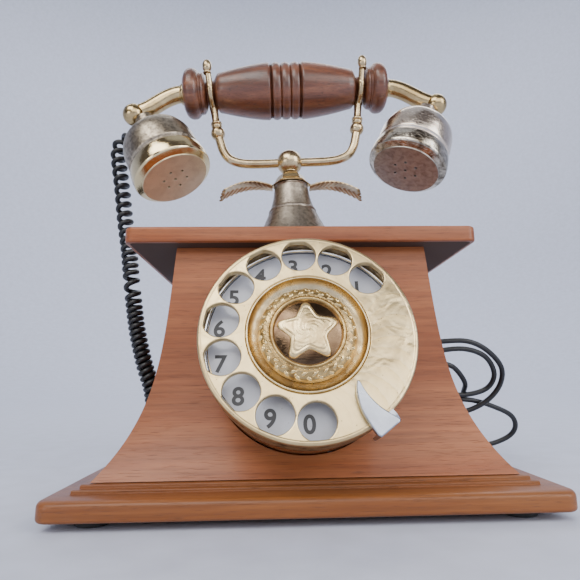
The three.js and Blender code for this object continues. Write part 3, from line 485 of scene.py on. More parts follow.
def turned(profile, segments=96):
    """A turned mesh about Z from (radius, z) points."""
    vertices, faces = [], []
    for radius, z in profile:
        for step in range(segments):
            angle = 2 * math.pi * step / segments
            vertices.append((radius * math.cos(angle), radius * math.sin(angle), z))
    for ring in range(len(profile) - 1):
        for step in range(segments):
            following = (step + 1) % segments
            low, high = ring * segments, (ring + 1) * segments
            faces.append((low + step, low + following, high + following, high + step))
    return mesh_of(vertices, faces)


def ball_profile(radius, centre=0.0, steps=20, low=-90, high=90):
    angles = [math.radians(low + (high - low) * step / steps) for step in range(steps + 1)]
    return [(max(radius * math.cos(angle), 0.0), centre + radius * math.sin(angle)) for angle in angles]


def path_frames(path):
    """A normal and a binormal at each point, carried along the path without twist."""
    tangents = [(path[min(i + 1, len(path) - 1)] - path[max(i - 1, 0)]).normalized() for i in range(len(path))]
    start = Z_AXIS if abs(tangents[0].z) < 0.9 else X_AXIS
    normal = (start - tangents[0] * start.dot(tangents[0])).normalized()
    frames = []
    for tangent in tangents:
        normal = (normal - tangent * normal.dot(tangent)).normalized()
        frames.append((normal, tangent.cross(normal)))
    return frames


def tube(path, radius, sides=20, capped=True):
    """A round tube mesh along a path; radius is a number or one for each point."""
    radii = radius if isinstance(radius, (list, tuple)) else [radius] * len(path)
    vertices, faces = [], []
    for point, reach, (normal, binormal) in zip(path, radii, path_frames(path)):
        for step in range(sides):
            angle = 2 * math.pi * step / sides
            vertices.append(point + reach * (math.cos(angle) * normal + math.sin(angle) * binormal))
    for ring in range(len(path) - 1):
        for step in range(sides):
            following = (step + 1) % sides
            low, high = ring * sides, (ring + 1) * sides
            faces.append((low + step, low + following, high + following, high + step))
    if capped:
        faces.append(tuple(reversed(range(sides))))
        last = (len(path) - 1) * sides
        faces.append(tuple(last + step for step in range(sides)))
    mesh = bpy.data.meshes.new("tube")
    mesh.from_pydata([tuple(vertex) for vertex in vertices], [], faces)
    return mesh


def rounded_loop(half_width, half_depth, radius, corner_steps=8):
    points = []
    for quarter in range(4):
        sx, sy = ((1, 1), (-1, 1), (-1, -1), (1, -1))[quarter]
        for step in range(corner_steps + 1):
            angle = math.pi / 2 * (quarter + step / corner_steps)
            points.append((sx * (half_width - radius) + radius * math.cos(angle),
                           sy * (half_depth - radius) + radius * math.sin(angle)))
    return points


def moulded_board(half_width, half_depth, profile, radius, depth_share=1.0):
    """A board whose edge follows (inset, z) points all the way round."""
    vertices, faces = [], []
    for inset, z in profile:
        corner = max(radius - inset, 0.4)
        loop = rounded_loop(half_width - inset, half_depth - depth_share * inset, corner)
        vertices.extend((x, y, z) for x, y in loop)
    count = len(vertices) // len(profile)
    for level in range(len(profile) - 1):
        for step in range(count):
            following = (step + 1) % count
            low, high = level * count, (level + 1) * count
            faces.append((low + step, low + following, high + following, high + step))
    faces.append(tuple(reversed(range(count))))
    top = (len(profile) - 1) * count
    faces.append(tuple(top + step for step in range(count)))
    return mesh_of(vertices, faces)


def circle(radius, centre=(0, 0), steps=96):
    return [(centre[0] + radius * math.cos(2 * math.pi * step / steps),
             centre[1] + radius * math.sin(2 * math.pi * step / steps)) for step in range(steps)]


def cut_plate(outlines, low, high, bevel):
    """A flat plate with softened edges between two heights: the first outline less the others."""
    curve = bpy.data.curves.new("outline", "CURVE")
    curve.dimensions = "2D"
    curve.fill_mode = "BOTH"
    for outline in outlines:
        spline = curve.splines.new("POLY")
        spline.points.add(len(outline) - 1)
        spline.use_cyclic_u = True
        for point, (x, y) in zip(spline.points, outline):
            point.co = (x, y, 0, 1)
    curve.bevel_depth = bevel
    curve.bevel_resolution = 2
    curve.offset = -bevel
    curve.extrude = (high - low) / 2 - bevel
    carrier = bpy.data.objects.new("outline", curve)
    bpy.context.scene.collection.objects.link(carrier)
    bpy.context.view_layer.update()
    mesh = bpy.data.meshes.new_from_object(carrier)
    bpy.data.objects.remove(carrier)
    bpy.data.curves.remove(curve)
    return moved(mesh, Matrix.Translation((0, 0, (low + high) / 2)))


def digit(character, height):
    curve = bpy.data.curves.new("digit", "FONT")
    curve.body = character
    curve.size = height / 0.7
    curve.align_x = "CENTER"
    curve.align_y = "CENTER"
    curve.extrude = 0.03
    curve.offset = 0.26
    carrier = bpy.data.objects.new("digit", curve)
    bpy.context.scene.collection.objects.link(carrier)
    bpy.context.view_layer.update()
    mesh = bpy.data.meshes.new_from_object(carrier)
    bpy.data.objects.remove(carrier)
    bpy.data.curves.remove(curve)
    return mesh


# ---------------------------------------------------------------- cords
CURLY_WIRE, CURLY_OUTER = 3.2, 10.5
CURLY_ROUTE = [(-97.3, 26.3, 191.7), (-99.4, 29.9, 191.5), (-102.2, 34.7, 193.8), (-103.6, 37, 199.5),
               (-104.4, 37.6, 206), (-104.8, 37.8, 212.4), (-106.7, 38, 218),
               (-111.6, 38.6, 220.3), (-116.7, 37.9, 218), (-118.8, 36.9, 212.6), (-118.6, 36, 206),
               (-117.2, 35, 198), (-115, 33, 188), (-112.6, 30.8, 176), (-109.4, 28, 158), (-105.4, 25.8, 138),
               (-103.2, 25, 122), (-100.6, 24.8, 104), (-97.6, 24.9, 86), (-92.6, 25.4, 66), (-88.6, 27.4, 53),
               (-88, 33, 41),
               (-91, 42.4, 31.4), (-96, 53.4, 23.8), (-99.6, 65, 19.8), (-100.2, 75, 19.2), (-97.6, 82.2, 19.2),
               (-91, 86.4, 19.2), (-82.4, 87.2, 19.4), (-73.6, 86.6, 20.4), (-66.4, 83.6, 22.8),
               (-60.6, 79.4, 25.6)]
# How far one turn reaches along the route, at distances from the handset.
CURLY_PITCH = [(0, 5.0), (38, 6.4), (74, 7.2), (98, 7.0), (121, 5.2), (135, 4.4), (145, 4.4), (154, 9.5), (161, 4.6),
               (169, 3.5), (450, 3.4)]
LINE_WIRE = 3.6
LINE_ROUTE = [(67.8, 85.6, 26), (72, 90.4, 24.4), (78, 95.6, 16), (89, 99.8, 5.6), (104, 102, 2.4),
              (122, 101.6, 2.4), (138, 98.6, 4.8), (151, 96, 8), (160.6, 93, 13.4), (163.4, 89.8, 20.4),
              (159, 86.2, 28), (146, 82.2, 34.2), (129, 79.4, 39.4), (108, 78, 41.4), (86, 75.6, 44.4),
              (69, 70.6, 51.6), (62.4, 65.4, 62), (69, 60.6, 72.4), (86, 57.8, 78.4), (104, 56.8, 80.6),
              (120, 56.8, 80.2), (134, 60, 74), (145.2, 65.2, 62.6), (145.6, 71, 50), (136.4, 75.4, 38.6),
              (121, 79.8, 31.6), (101, 81.2, 33), (86, 80.8, 38.6), (77, 77.4, 48), (75.6, 71.8, 58),
              (82.6, 65, 68.6), (97, 60.6, 73.6), (117, 59.8, 75.4), (133, 62.2, 70), (141.2, 68.4, 58),
              (137.4, 74.4, 47.8), (122, 76.2, 43.6), (105, 74.6, 45.6), (94.4, 71.6, 51), (92.2, 68, 59),
              (99, 65, 65.2), (111, 66.2, 63.4), (121, 72.2, 53), (123.6, 81.6, 46), (122, 84.8, 39.6),
              (118.4, 88.4, 32.4), (111, 92.6, 23.6), (101, 97.8, 15.4), (89, 103.4, 9.8), (77, 108.6, 4.4),
              (63, 109.6, 2.3), (48, 107.6, 2.3), (34, 105.2, 2.3), (21.4, 103.9, 2.3)]
COIL_TURNS_WIDE, COIL_LAYERS, COIL_RADIUS = 3, 3, 20.0


def evenly(path, step):
    """The path's points again, a fixed step apart."""
    result, carried = [path[0].copy()], 0.0
    for start, end in zip(path, path[1:]):
        length = (end - start).length
        travelled = step - carried
        while travelled <= length:
            result.append(start.lerp(end, travelled / length))
            travelled += step
        carried = length - (travelled - step)
    result.append(path[-1].copy())
    return result


def pitch_at(distance):
    for (before, low), (after, high) in zip(CURLY_PITCH, CURLY_PITCH[1:]):
        if distance <= after:
            return low + (high - low) * (distance - before) / (after - before)
    return CURLY_PITCH[-1][1]


def curly_path():
    """The wire's own path: a helix round the route, drawn in to the middle at both ends."""
    step = 0.22
    route = evenly(smooth_through(CURLY_ROUTE, 16), step)
    frames = path_frames(route)
    whole = step * (len(route) - 1)
    reach, ease = (CURLY_OUTER - CURLY_WIRE) / 2, 7.0
    angle, path = 2.4, []
    for index, (point, (normal, binormal)) in enumerate(zip(route, frames)):
        distance = index * step
        angle += 2 * math.pi * step / pitch_at(distance)
        inward = min(distance / ease, (whole - distance) / ease, 1.0)
        radius = reach * inward ** 2 * (3 - 2 * inward)
        path.append(point + radius * (math.cos(angle) * normal + math.sin(angle) * binormal))
    return path


def coil_path(start):
    """The put-away length, wound turn beside turn and layer on layer round a ring."""
    low, high = (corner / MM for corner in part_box("line_cord_coil"))
    middle = (low + high) / 2
    across = [COIL_RADIUS + LINE_WIRE * (lane - (COIL_TURNS_WIDE - 1) / 2) for lane in range(COIL_TURNS_WIDE)]
    heights = [low.z + LINE_WIRE * (layer + 0.5) for layer in range(COIL_LAYERS)]
    begin = math.atan2(start.y - middle.y, start.x - middle.x)
    arrival = (start - middle).xy.length
    lanes = [(radius, height) for layer, height in enumerate(heights)
             for radius in (reversed(across) if layer % 2 == 0 else across)]
    steps, path = 40, []
    for turn, (radius, height) in enumerate(lanes):
        next_radius, next_height = lanes[min(turn + 1, len(lanes) - 1)]
        for step in range(steps):
            share = max(0.0, (step / steps - 0.75) / 0.25)
            share = share * share * (3 - 2 * share)
            angle = begin - 2 * math.pi * (step / steps)
            now_radius = radius + (next_radius - radius) * share
            if turn == 0:
                inward = min(1.0, step / 14)
                now_radius += (arrival - now_radius) * (1 - inward * inward * (3 - 2 * inward))
            path.append(Vector((middle.x + now_radius * math.cos(angle), middle.y + now_radius * math.sin(angle),
                                height + (next_height - height) * share)))
    return path


def add_cord(name, path, diameter, sides, body, nodes, **facts):
    made = piece(name, tube(path, diameter / 2, sides), Matrix.Identity(4), "cord_black", body,
                 nodes, sharp=60)
    return made


def add_cords():
    curly = curly_path()
    mesh = tube(curly, CURLY_WIRE / 2, 10)
    mesh.transform(Matrix.Scale(MM, 4))
    mesh.materials.append(MATERIALS["cord_black"])
    for face in mesh.polygons:
        face.use_smooth = True
    wire = bpy.data.objects.new("curly_cord", mesh)
    bpy.context.scene.collection.objects.link(wire)
    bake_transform(wire)
    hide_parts("handset_cord")

    plug = add_plug()
    route = smooth_through(LINE_ROUTE, 5)
    coil = coil_path(route[-1])
    tail_start = coil[-1]
    low, high = (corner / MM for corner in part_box("line_plug"))
    mouth = Vector(((low.x + high.x) / 2, low.y + 1.0, (low.z + high.z) / 2))
    tail = smooth_through([coil[-2], tail_start, tail_start + Vector((-8, -5, -3)),
                           mouth + Vector((5, -9, 0.4)), mouth + Vector((0.6, -4.4, 0)), mouth], 6)[7:]
    path = [*route[:-2], *coil[1:], *tail]
    add_cord("line_cord_wire", path, LINE_WIRE, 12, "case", ("line_cord", "line_cord_coil"), far_end="plug",
             stiffness="medium", lay="loose", with_pieces=[plug])


def add_plug():
    """A small modular plug: clear body, latch tongue, and ribs over the contacts."""
    low, high = (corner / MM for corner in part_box("line_plug"))
    middle = (low + high) / 2
    half = (high - low) / 2
    body = moulded_board(half.x, half.y, filleted([(0.6, -3.2), (0, -2.8, 0.5), (0, 2.6, 0.5), (0.7, 3.1)]), 0.9)
    latch = moulded_board(2.6, 6.4, filleted([(0.3, 3.4), (0, 3.6, 0.2), (0, 4.1, 0.2), (0.4, 4.3)]), 0.7)
    ribs = [moved(moulded_board(0.32, 3.0, [(0, 2.9), (0, 3.35)], 0.2),
                  Matrix.Translation((1.1 * index - 2.75, half.y - 3.4, 0))) for index in range(6)]
    latch = moved(latch, Matrix.Translation((0, 1.0, 0)))
    place = Matrix.Translation((middle.x * MM, middle.y * MM, 0.0034))
    return piece("modular_plug", merged(body, latch, *ribs), place, "plug_clear", "case",
                 ("line_plug",))


def flare_at(z):
    drop = BODY_HIGH.z - z
    return FLARE_SLOPE * drop + FLARE_SWEEP * (drop / (BODY_HIGH.z - BODY_LOW.z)) ** FLARE_POWER


def panel(x_range, y_range, levels=56):
    """A closed solid whose x and y ranges follow the flare with height."""
    vertices, faces = [], []
    for level in range(levels + 1):
        z = BODY_LOW.z + (BODY_HIGH.z - BODY_LOW.z) * (level / levels) ** 1.3
        (x0, x1), (y0, y1) = x_range(z), y_range(z)
        vertices.extend(((x0, y0, z), (x1, y0, z), (x1, y1, z), (x0, y1, z)))
    for level in range(levels):
        for side in range(4):
            following = (side + 1) % 4
            low, high = level * 4, level * 4 + 4
            faces.append((low + side, low + following, high + following, high + side))
    faces.append((3, 2, 1, 0))
    top = levels * 4
    faces.append((top, top + 1, top + 2, top + 3))
    return mesh_of(vertices, faces)


def bored(mesh, place, radius, low, high):
    """The mesh less a cylinder along the Z of a placing matrix, in millimetres."""
    target = bpy.data.objects.new("bored", mesh)
    drill_mesh = turned([(0, low), (radius, low), (radius, high), (0, high)], 96)
    drill_mesh.transform(Matrix.Scale(1 / MM, 4) @ place @ Matrix.Scale(MM, 4))
    drill = bpy.data.objects.new("drill", drill_mesh)
    for thing in (target, drill):
        bpy.context.scene.collection.objects.link(thing)
    cutter = target.modifiers.new("cut", "BOOLEAN")
    cutter.operation = "DIFFERENCE"
    cutter.solver = "EXACT"
    cutter.object = drill
    bpy.context.view_layer.update()
    result = bpy.data.meshes.new_from_object(target.evaluated_get(bpy.context.evaluated_depsgraph_get()))
    bpy.data.objects.remove(target)
    bpy.data.objects.remove(drill)
    return result


def add_case():
    width = lambda z: TOP_HALF_WIDTH + flare_at(z)
    depth = lambda z: TOP_HALF_DEPTH + DEPTH_SHARE * flare_at(z)
    whole = lambda z: (-width(z), width(z))
    home = Matrix.Identity(4)
    front = panel(whole, lambda z: (CASE_Y - depth(z), CASE_Y - depth(z) + WALL))
    front = bored(front, DIAL, 43.8, -70, 20)
    piece("front_veneer", front, home, "wood_x", "case", ("front_panel",), bevel=0.5)
    back = panel(whole, lambda z: (CASE_Y + depth(z) - WALL, CASE_Y + depth(z)))
    piece("back_veneer", back, home, "wood_x", "case", ("back_panel",), bevel=0.5)
    reach = lambda z: depth(z) - WALL - 0.3
    for side, sign in SIDES:
        edges = lambda z, s=sign: tuple(sorted((s * width(z), s * (width(z) - WALL))))
        mesh = panel(edges, lambda z: (CASE_Y - reach(z), CASE_Y + reach(z)))
        piece(f"{side}_veneer", mesh, home, "wood_y", "case", (f"{side}_side_panel",), bevel=0.5)

    centre = Matrix.Translation((0, CASE_Y * MM, 0))
    top_half = (TOP_HIGH - TOP_LOW) / 2 / MM
    low, high = TOP_LOW.z / MM, TOP_HIGH.z / MM
    slab = filleted([(2.6, low), (0, low, 2.2), (0, high, 2.4), (3.0, high)], 7)
    piece("top_slab", moulded_board(top_half.x, top_half.y, slab, 4.5), centre, "wood_x", "case",
          ("top_board",))

    # painted shade: a thin dark sheet just under the top slab, standing in for the shadow beneath its overhang
    under = moulded_board(top_half.x - 2.2, top_half.y - 2.2, [(0, low - 0.1), (0, low + 0.4)], 2.6)
    piece("slab_underside_shade", under, centre, "underside_shade", "case")

    half = (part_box("plinth")[1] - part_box("plinth")[0]) / 2 / MM
    steps = filleted([(4, FEET_TOP), (0, FEET_TOP, 2.6), (0, FEET_TOP + 8.3, 2.8), (9.8, FEET_TOP + 8.3, 0.4),
                      (9.8, FEET_TOP + 9.8, 0.7), (12.2, FEET_TOP + 9.8, 0.3), (12.2, PLINTH_TOP, 0.7),
                      (16, PLINTH_TOP)], 6)
    piece("moulded_plinth", moulded_board(half.x, half.y, steps, 6, 1.28), centre, "wood_plinth", "case",
          ("plinth",))
    for row in ("front", "rear"):
        for side, _ in SIDES:
            node = f"{side}_{row}_foot"
            low, high = (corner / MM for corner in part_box(node))
            middle = (low + high) / 2
            radius = (high.x - low.x) / 2
            foot = turned(filleted([(0, 0.25), (radius - 2.4, 0.25, 0.4), (radius - 1.6, 0, 0.3), (radius, 0.3, 0.9),
                                    (radius - 0.3, high.z), (0, high.z)]), 40)
            piece(f"{side}_{row}_pad", foot, Matrix.Translation((middle.x * MM, middle.y * MM, 0)), "rubber", "case",
                  (node,))


# ---------------------------------------------------------------- dial
def hole_angles():
    return [math.radians(FIRST_HOLE + HOLE_STEP * index) for index in range(len(DIGITS))]


def add_dial_front():
    holes = [circle(HOLE_RADIUS, (HOLE_CIRCLE * math.cos(a), HOLE_CIRCLE * math.sin(a)), 72) for a in hole_angles()]
    disc = cut_plate([circle(WHEEL_RADIUS - 0.5, steps=160), circle(25.9, steps=120), *holes], -3.2, 0, 0.45)
    rim = turned(filleted([(43.4, -2.6), (43.4, -0.05, 0.2), (44.0, 0.25, 0.5), (45.1, 0.1, 0.5),
                           (WHEEL_RADIUS, -0.8, 0.5), (WHEEL_RADIUS, -2.8, 0.5), (44.4, -3.3, 0.3),
                           (43.4, -3.3)]), 160)
    piece("finger_disc", merged(disc, rim), DIAL, "dial_metal", "dial_rotor", ("finger_wheel",),
          sharp=50)
    dish = turned(filleted([(20.4, -6), (25.6, -6), (25.85, -0.5, 0.3), (25.5, 0.35, 0.3), (24.9, 0.3, 0.2),
                            (24.5, -1.4, 0.8), (23.4, -3.0, 1.2), (21.6, -3.9, 0.6), (20.2, -4.3), (0, -4.3)]), 128)
    piece("hub_cove", dish, DIAL, "dish_brass", "dial_rotor", ("hub_dish",))
    border = turned(filleted([(20.6, -4.0), (20.8, -2.8, 0.5), (20.2, -1.5, 0.8), (18.4, -0.3, 1.2), (16.9, 0.2, 0.5),
                              (16.5, 0.0, 0.2), (15.9, 0.3, 0.3), (15.5, 0.95, 0.4), (14.7, 0.9, 0.4),
                              (14.2, 0.1, 0.3), (13.9, -0.5)]), 128)
    piece("medallion_border", border, DIAL, "medallion_antique", "dial_rotor")
    dome = turned([(radius, dome_height(radius)) for radius in [14.3 - 0.55 * step for step in range(26)]] + [
        (0, dome_height(0))], 128)
    piece("medallion_dome", dome, DIAL, "medallion_dark", "dial_rotor", ("hub_medallion",))
    piece("medallion_wreath", wreath(), DIAL, "medallion_gold", "dial_rotor", sharp=70)
    turn = Matrix.Rotation(math.radians(3), 4, "Z")
    piece("relief_star", star(), DIAL @ turn, "star_gold", "dial_rotor", ("hub_star",), sharp=50)


def leaf(length, width, height):
    """A pointed leaf with a middle rib, lying along X."""
    along, across = 9, 8
    vertices, faces = [], []
    for i in range(along + 1):
        share = i / along
        half = width / 2 * math.sin(math.pi * share ** 0.8) ** 0.8 + 0.02
        for j in range(across + 1):
            side = 2 * j / across - 1
            rib = 0.28 * height * math.exp(-(side / 0.22) ** 2)
            crown = height * math.sqrt(max(1 - side ** 2, 0)) * math.sin(math.pi * min(max(share, 0.04), 0.96))
            vertices.append((length * (share - 0.5), side * half, crown - rib))
    for i in range(along):
        for j in range(across):
            low = i * (across + 1) + j
            faces.append((low, low + across + 1, low + across + 2, low + 1))
    return mesh_of(vertices, faces)


def dome_height(radius):
    return 1.55 - 2.0 * (radius / 14.3) ** 2


def wreath():
    """Slanted leaves with bosses between them on the border's slope, and beads inside them."""
    parts = []
    leaves, beads = 26, 52
    slope = Matrix.Rotation(math.radians(32), 4, "Y")
    for index in range(leaves):
        angle = 2 * math.pi * index / leaves
        for radius, height, slant, shift, size in ((18.0, -0.35, 38, 0.0, 4.0), (19.6, -1.35, -32, 0.5, 3.2)):
            place = (Matrix.Rotation(angle + shift * 2 * math.pi / leaves, 4, "Z")
                     @ Matrix.Translation((radius, 0, height)) @ slope
                     @ Matrix.Rotation(math.radians(90 + slant), 4, "Z"))
            parts.append(moved(leaf(size, 1.7, 0.75), place))
        if index % 2 == 0:
            boss = turned(ball_profile(0.7, 0, 8), 14)
            parts.append(moved(boss, Matrix.Rotation(angle + 0.06, 4, "Z") @ Matrix.Translation((18.9, 0, -0.7))))
    for index in range(beads):
        bead = turned(ball_profile(0.42, 0, 8), 10)
        at = 2 * math.pi * index / beads
        parts.append(moved(bead, Matrix.Rotation(at, 4, "Z") @ Matrix.Translation((16.35, 0, 0.12))))
    return merged(*parts)


def star_reach(angle):
    """How far the star's rounded outline lies from its middle."""
    total = 0.0
    for step in range(-6, 7):
        turn = (angle + math.radians(1.5 * step) - math.pi / 2) % (2 * math.pi / 5)
        share = abs(turn - math.pi / 5) / (math.pi / 5)
        inner, tip = 7.9, 15.4
        corner = math.pi / 5 * (1 - share)
        total += inner * tip * math.sin(math.pi / 5) / (
            inner * math.sin(math.pi / 5 - corner) + tip * math.sin(corner))
    return total / 13


def star():
    """A puffed five-pointed star that follows the dome, with a line engraved inside its edge."""
    rings, sectors = 30, 200
    vertices, faces = [(0, 0, dome_height(0) + 0.75)], []
    for ring in range(1, rings + 1):
        share = ring / rings
        for sector in range(sectors):
            angle = 2 * math.pi * sector / sectors
            radius = share * star_reach(angle)
            edge = min((1 - share) / 0.14, 1.0)
            puff = 0.75 * math.sqrt(max(edge * (2 - edge), 0.0))
            groove = 0.28 * math.exp(-((share - 0.78) / 0.022) ** 2)
            swirl = 0.07 * math.sin(2.6 * radius + 5 * angle) * math.sin(3 * angle + 0.9 * radius) * (share < 0.72)
            vertices.append((radius * math.cos(angle), radius * math.sin(angle),
                             dome_height(radius) + puff - groove + swirl - 0.05))
    for sector in range(sectors):
        following = (sector + 1) % sectors
        faces.append((0, 1 + sector, 1 + following))
        for ring in range(rings - 1):
            low, high = 1 + ring * sectors, 1 + (ring + 1) * sectors
            faces.append((low + sector, high + sector, high + following, low + following))
    return mesh_of(vertices, faces)


def stop_outline():
    """The claw: a broad base that curves to a narrow tip."""
    left = smooth_through([(17.9, -21.8), (17.5, -27.0), (18.9, -33.4), (21.6, -38.8), (24.0, -42.6)], 8)
    base = [(25.2, -43.2), (32.8, -37.6), (32.6, -36.6), (31.4, -35.6)]
    right = smooth_through([(29.4, -34.4), (25.6, -31.6), (21.6, -27.0), (18.8, -21.8)], 8)
    return [tuple(point) for point in left] + base + [tuple(point) for point in right]


def add_dial_back():
    plate = turned(filleted([(3.4, -9.5), (42.2, -9.5), (42.2, -PLATE_DEPTH, 0.2), (3.4, -PLATE_DEPTH)]), 128)
    piece("number_ring", plate, DIAL, "enamel", "case", ("number_plate",))
    shift = Vector((-2.4, -0.9))
    digits = []
    for character, angle in zip(DIGITS, hole_angles()):
        at = shift + 35.4 * Vector((math.cos(angle), math.sin(angle)))
        digits.append(moved(digit(character, 7.2), Matrix.Translation((at.x, at.y, 0.06 - PLATE_DEPTH))))
    piece("printed_digits", merged(*digits), DIAL, "ink", "case")
    skirt = turned(filleted([(44.2, -3.9), (45.0, -3.8, 0.3), (45.35, -4.6, 0.3), (45.35, -12.6, 0.3),
                             (44.9, -13.2, 0.3), (44.2, -13.2), (44.2, -3.9)]), 128)
    piece("dial_skirt", skirt, DIAL, "skirt_brass", "case")
    bezel = turned(filleted([(42.5, -9.6), (42.5, -8.0, 0.3), (43.3, -7.1, 0.4), (44.0, -7.2, 0.3), (44.1, -8.8, 0.2),
                             (44.1, -13, 0.1), (43.8, -13), (43.8, -9.6), (42.5, -9.6)]), 128)
    piece("bezel_ring", bezel, DIAL, "chrome", "case", ("dial_bezel",))
    cup = turned(filleted([(2.9, -36), (43.5, -36, 1.5), (43.5, -9.8, 0.3), (41.5, -9.8, 0.3), (41.5, -34, 1),
                           (2.9, -34), (2.9, -36)]), 128)
    piece("housing_cup", cup, DIAL, "bright_brass", "case", ("dial_housing",))

    blade = cut_plate([stop_outline()], 0.9, 3.8, 0.5)
    away = math.radians(-53.2)
    bend = smooth_through([(44.6, 3.0), (47.3, 2.9), (48.7, 1.8), (48.9, 0), (48.7, -6), (48.4, -12.6)], 6)
    leg = strip([(reach, height) for reach, height in bend], 9.2, 1.4)
    leg = moved(leg, Matrix.Rotation(away, 4, "Z"))
    piece("stop_claw", merged(blade, leg), DIAL, "steel", "case", ("finger_stop",), sharp=50)


def strip(path, width, thickness):
    """A flat strip bent along (x, z) points, its width along Y."""
    vertices, faces = [], []
    for index, (x, z) in enumerate(path):
        before, after = path[max(index - 1, 0)], path[min(index + 1, len(path) - 1)]
        run = Vector((after[0] - before[0], after[1] - before[1])).normalized()
        out = Vector((-run.y, run.x)) * thickness / 2
        for side, y in ((1, -1), (1, 1), (-1, 1), (-1, -1)):
            vertices.append((x + side * out.x, y * width / 2, z + side * out.y))
    for index in range(len(path) - 1):
        for side in range(4):
            following = (side + 1) % 4
            low, high = index * 4, index * 4 + 4
            faces.append((low + side, low + following, high + following, high + side))
    last = (len(path) - 1) * 4
    faces.extend([(3, 2, 1, 0), (last, last + 1, last + 2, last + 3)])
    return mesh_of(vertices, faces)


# ---------------------------------------------------------------- stand and cradle
def add_stand():
    foot = [(2.8, 0.4), (29.4, 0.4, 0.5), (30.6, 1.0, 0.6), (30.4, 2.4, 0.8), (28.6, 3.0, 0.6), (28.2, 3.9, 0.4)]
    sweep = [tuple(p) for p in smooth_through([(27.6, 4.6), (24.2, 8), (21.2, 12.2), (18.2, 17.6), (15.8, 22.8),
                                               (14.3, 26.2)], 8)]
    rings = [(14.5, 26.4, 0.2), (14.5, 27.0, 0.2), (13.9, 27.2, 0.15), (14.1, 27.8, 0.2), (13.6, 28.2, 0.2)]
    neck = [tuple(p) for p in smooth_through([(13.3, 28.6), (12.2, 32), (11.2, 36), (10.6, 39.6), (10.1, 42.6)], 6)]
    head = [(10.5, 43.0, 0.2), (10.4, 43.6, 0.2), (2.8, 43.7)]
    bell = turned([*filleted(foot), *sweep, *filleted(rings), *neck, *filleted(head)], 96)
    piece("spun_bell", bell, STAND, "bell_nickel", "case", ("cradle_bell",), sharp=40)
    collar = turned([(2.8, 43.9), (12.6, 43.9), (12.7, 44.5), (11.4, 45.2), (10.2, 46.2), (9.4, 47.6), (8.6, 49.2),
                     (7.6, 50.4), (6.6, 51.1), (2.8, 51.1)], 6)
    piece("faceted_collar", collar, STAND, "bright_brass", "case", ("cradle_collar",),
          sharp=25, bevel=0.35)
    for side, sign in SIDES:
        piece(f"{side}_feathered_wing", wing(sign), STAND, "wing_brass", "case", (f"{side}_wing",),
              sharp=60)


def wing(sign):
    """An arched wing: plain along its front edge, feather barbs below and a notched tip."""
    along, across = 84, 26
    upper, lower = [], []
    for i in range(along + 1):
        share = i / along
        arch = 41.6 + 5.2 * math.sin(math.pi * (0.1 + 0.62 * share)) - 6.2 * share ** 2
        half = 3.6 + 5.4 * share ** 0.7
        for j in range(across + 1):
            side = 2 * j / across - 1
            tip = 0.9 * math.sin(9 * math.pi * (side + 1) / 2) * max(0, share - 0.93) / 0.07
            x = 11.4 + (30.8 + 2.3 * side + tip) * share
            curl = -0.9 * share * side ** 2 - (0.8 * share if side > 0 else 0) * side
            barb = math.sin(2 * math.pi * (11 * share - 1.3 * abs(side)))
            thick = (1.9 - 0.8 * share) * (1 - 0.55 * side ** 4)
            z = arch + curl - sign * x * STAND_UP.x / -STAND_UP.z
            upper.append((sign * x, side * half, z + 0.1 * barb * min(1, 4 * share)))
            lower.append((sign * x, side * half, z - thick - 0.26 * barb * min(1, 4 * share)))
    vertices = upper + lower
    row = across + 1
    shift = len(upper)
    faces = []
    for i in range(along):
        for j in range(across):
            low = i * row + j
            faces.append((low, low + row, low + row + 1, low + 1))
            faces.append((shift + low, shift + low + 1, shift + low + row + 1, shift + low + row))
    edge = [i * row for i in range(along + 1)] + [along * row + j for j in range(1, row)]
    edge += [i * row + across for i in reversed(range(along))] + [j for j in reversed(range(1, across))]
    for one, other in zip(edge, edge[1:] + edge[:1]):
        faces.append((one, other, shift + other, shift + one))
    return mesh_of(vertices, faces)


FORK_HUB, FORK_WIRE, FORK_BALL = 59.3, 2.75, (43.8, 80.6)
NECK_X, KNOB = 47.1, (48.1, 12.5, 118.6)


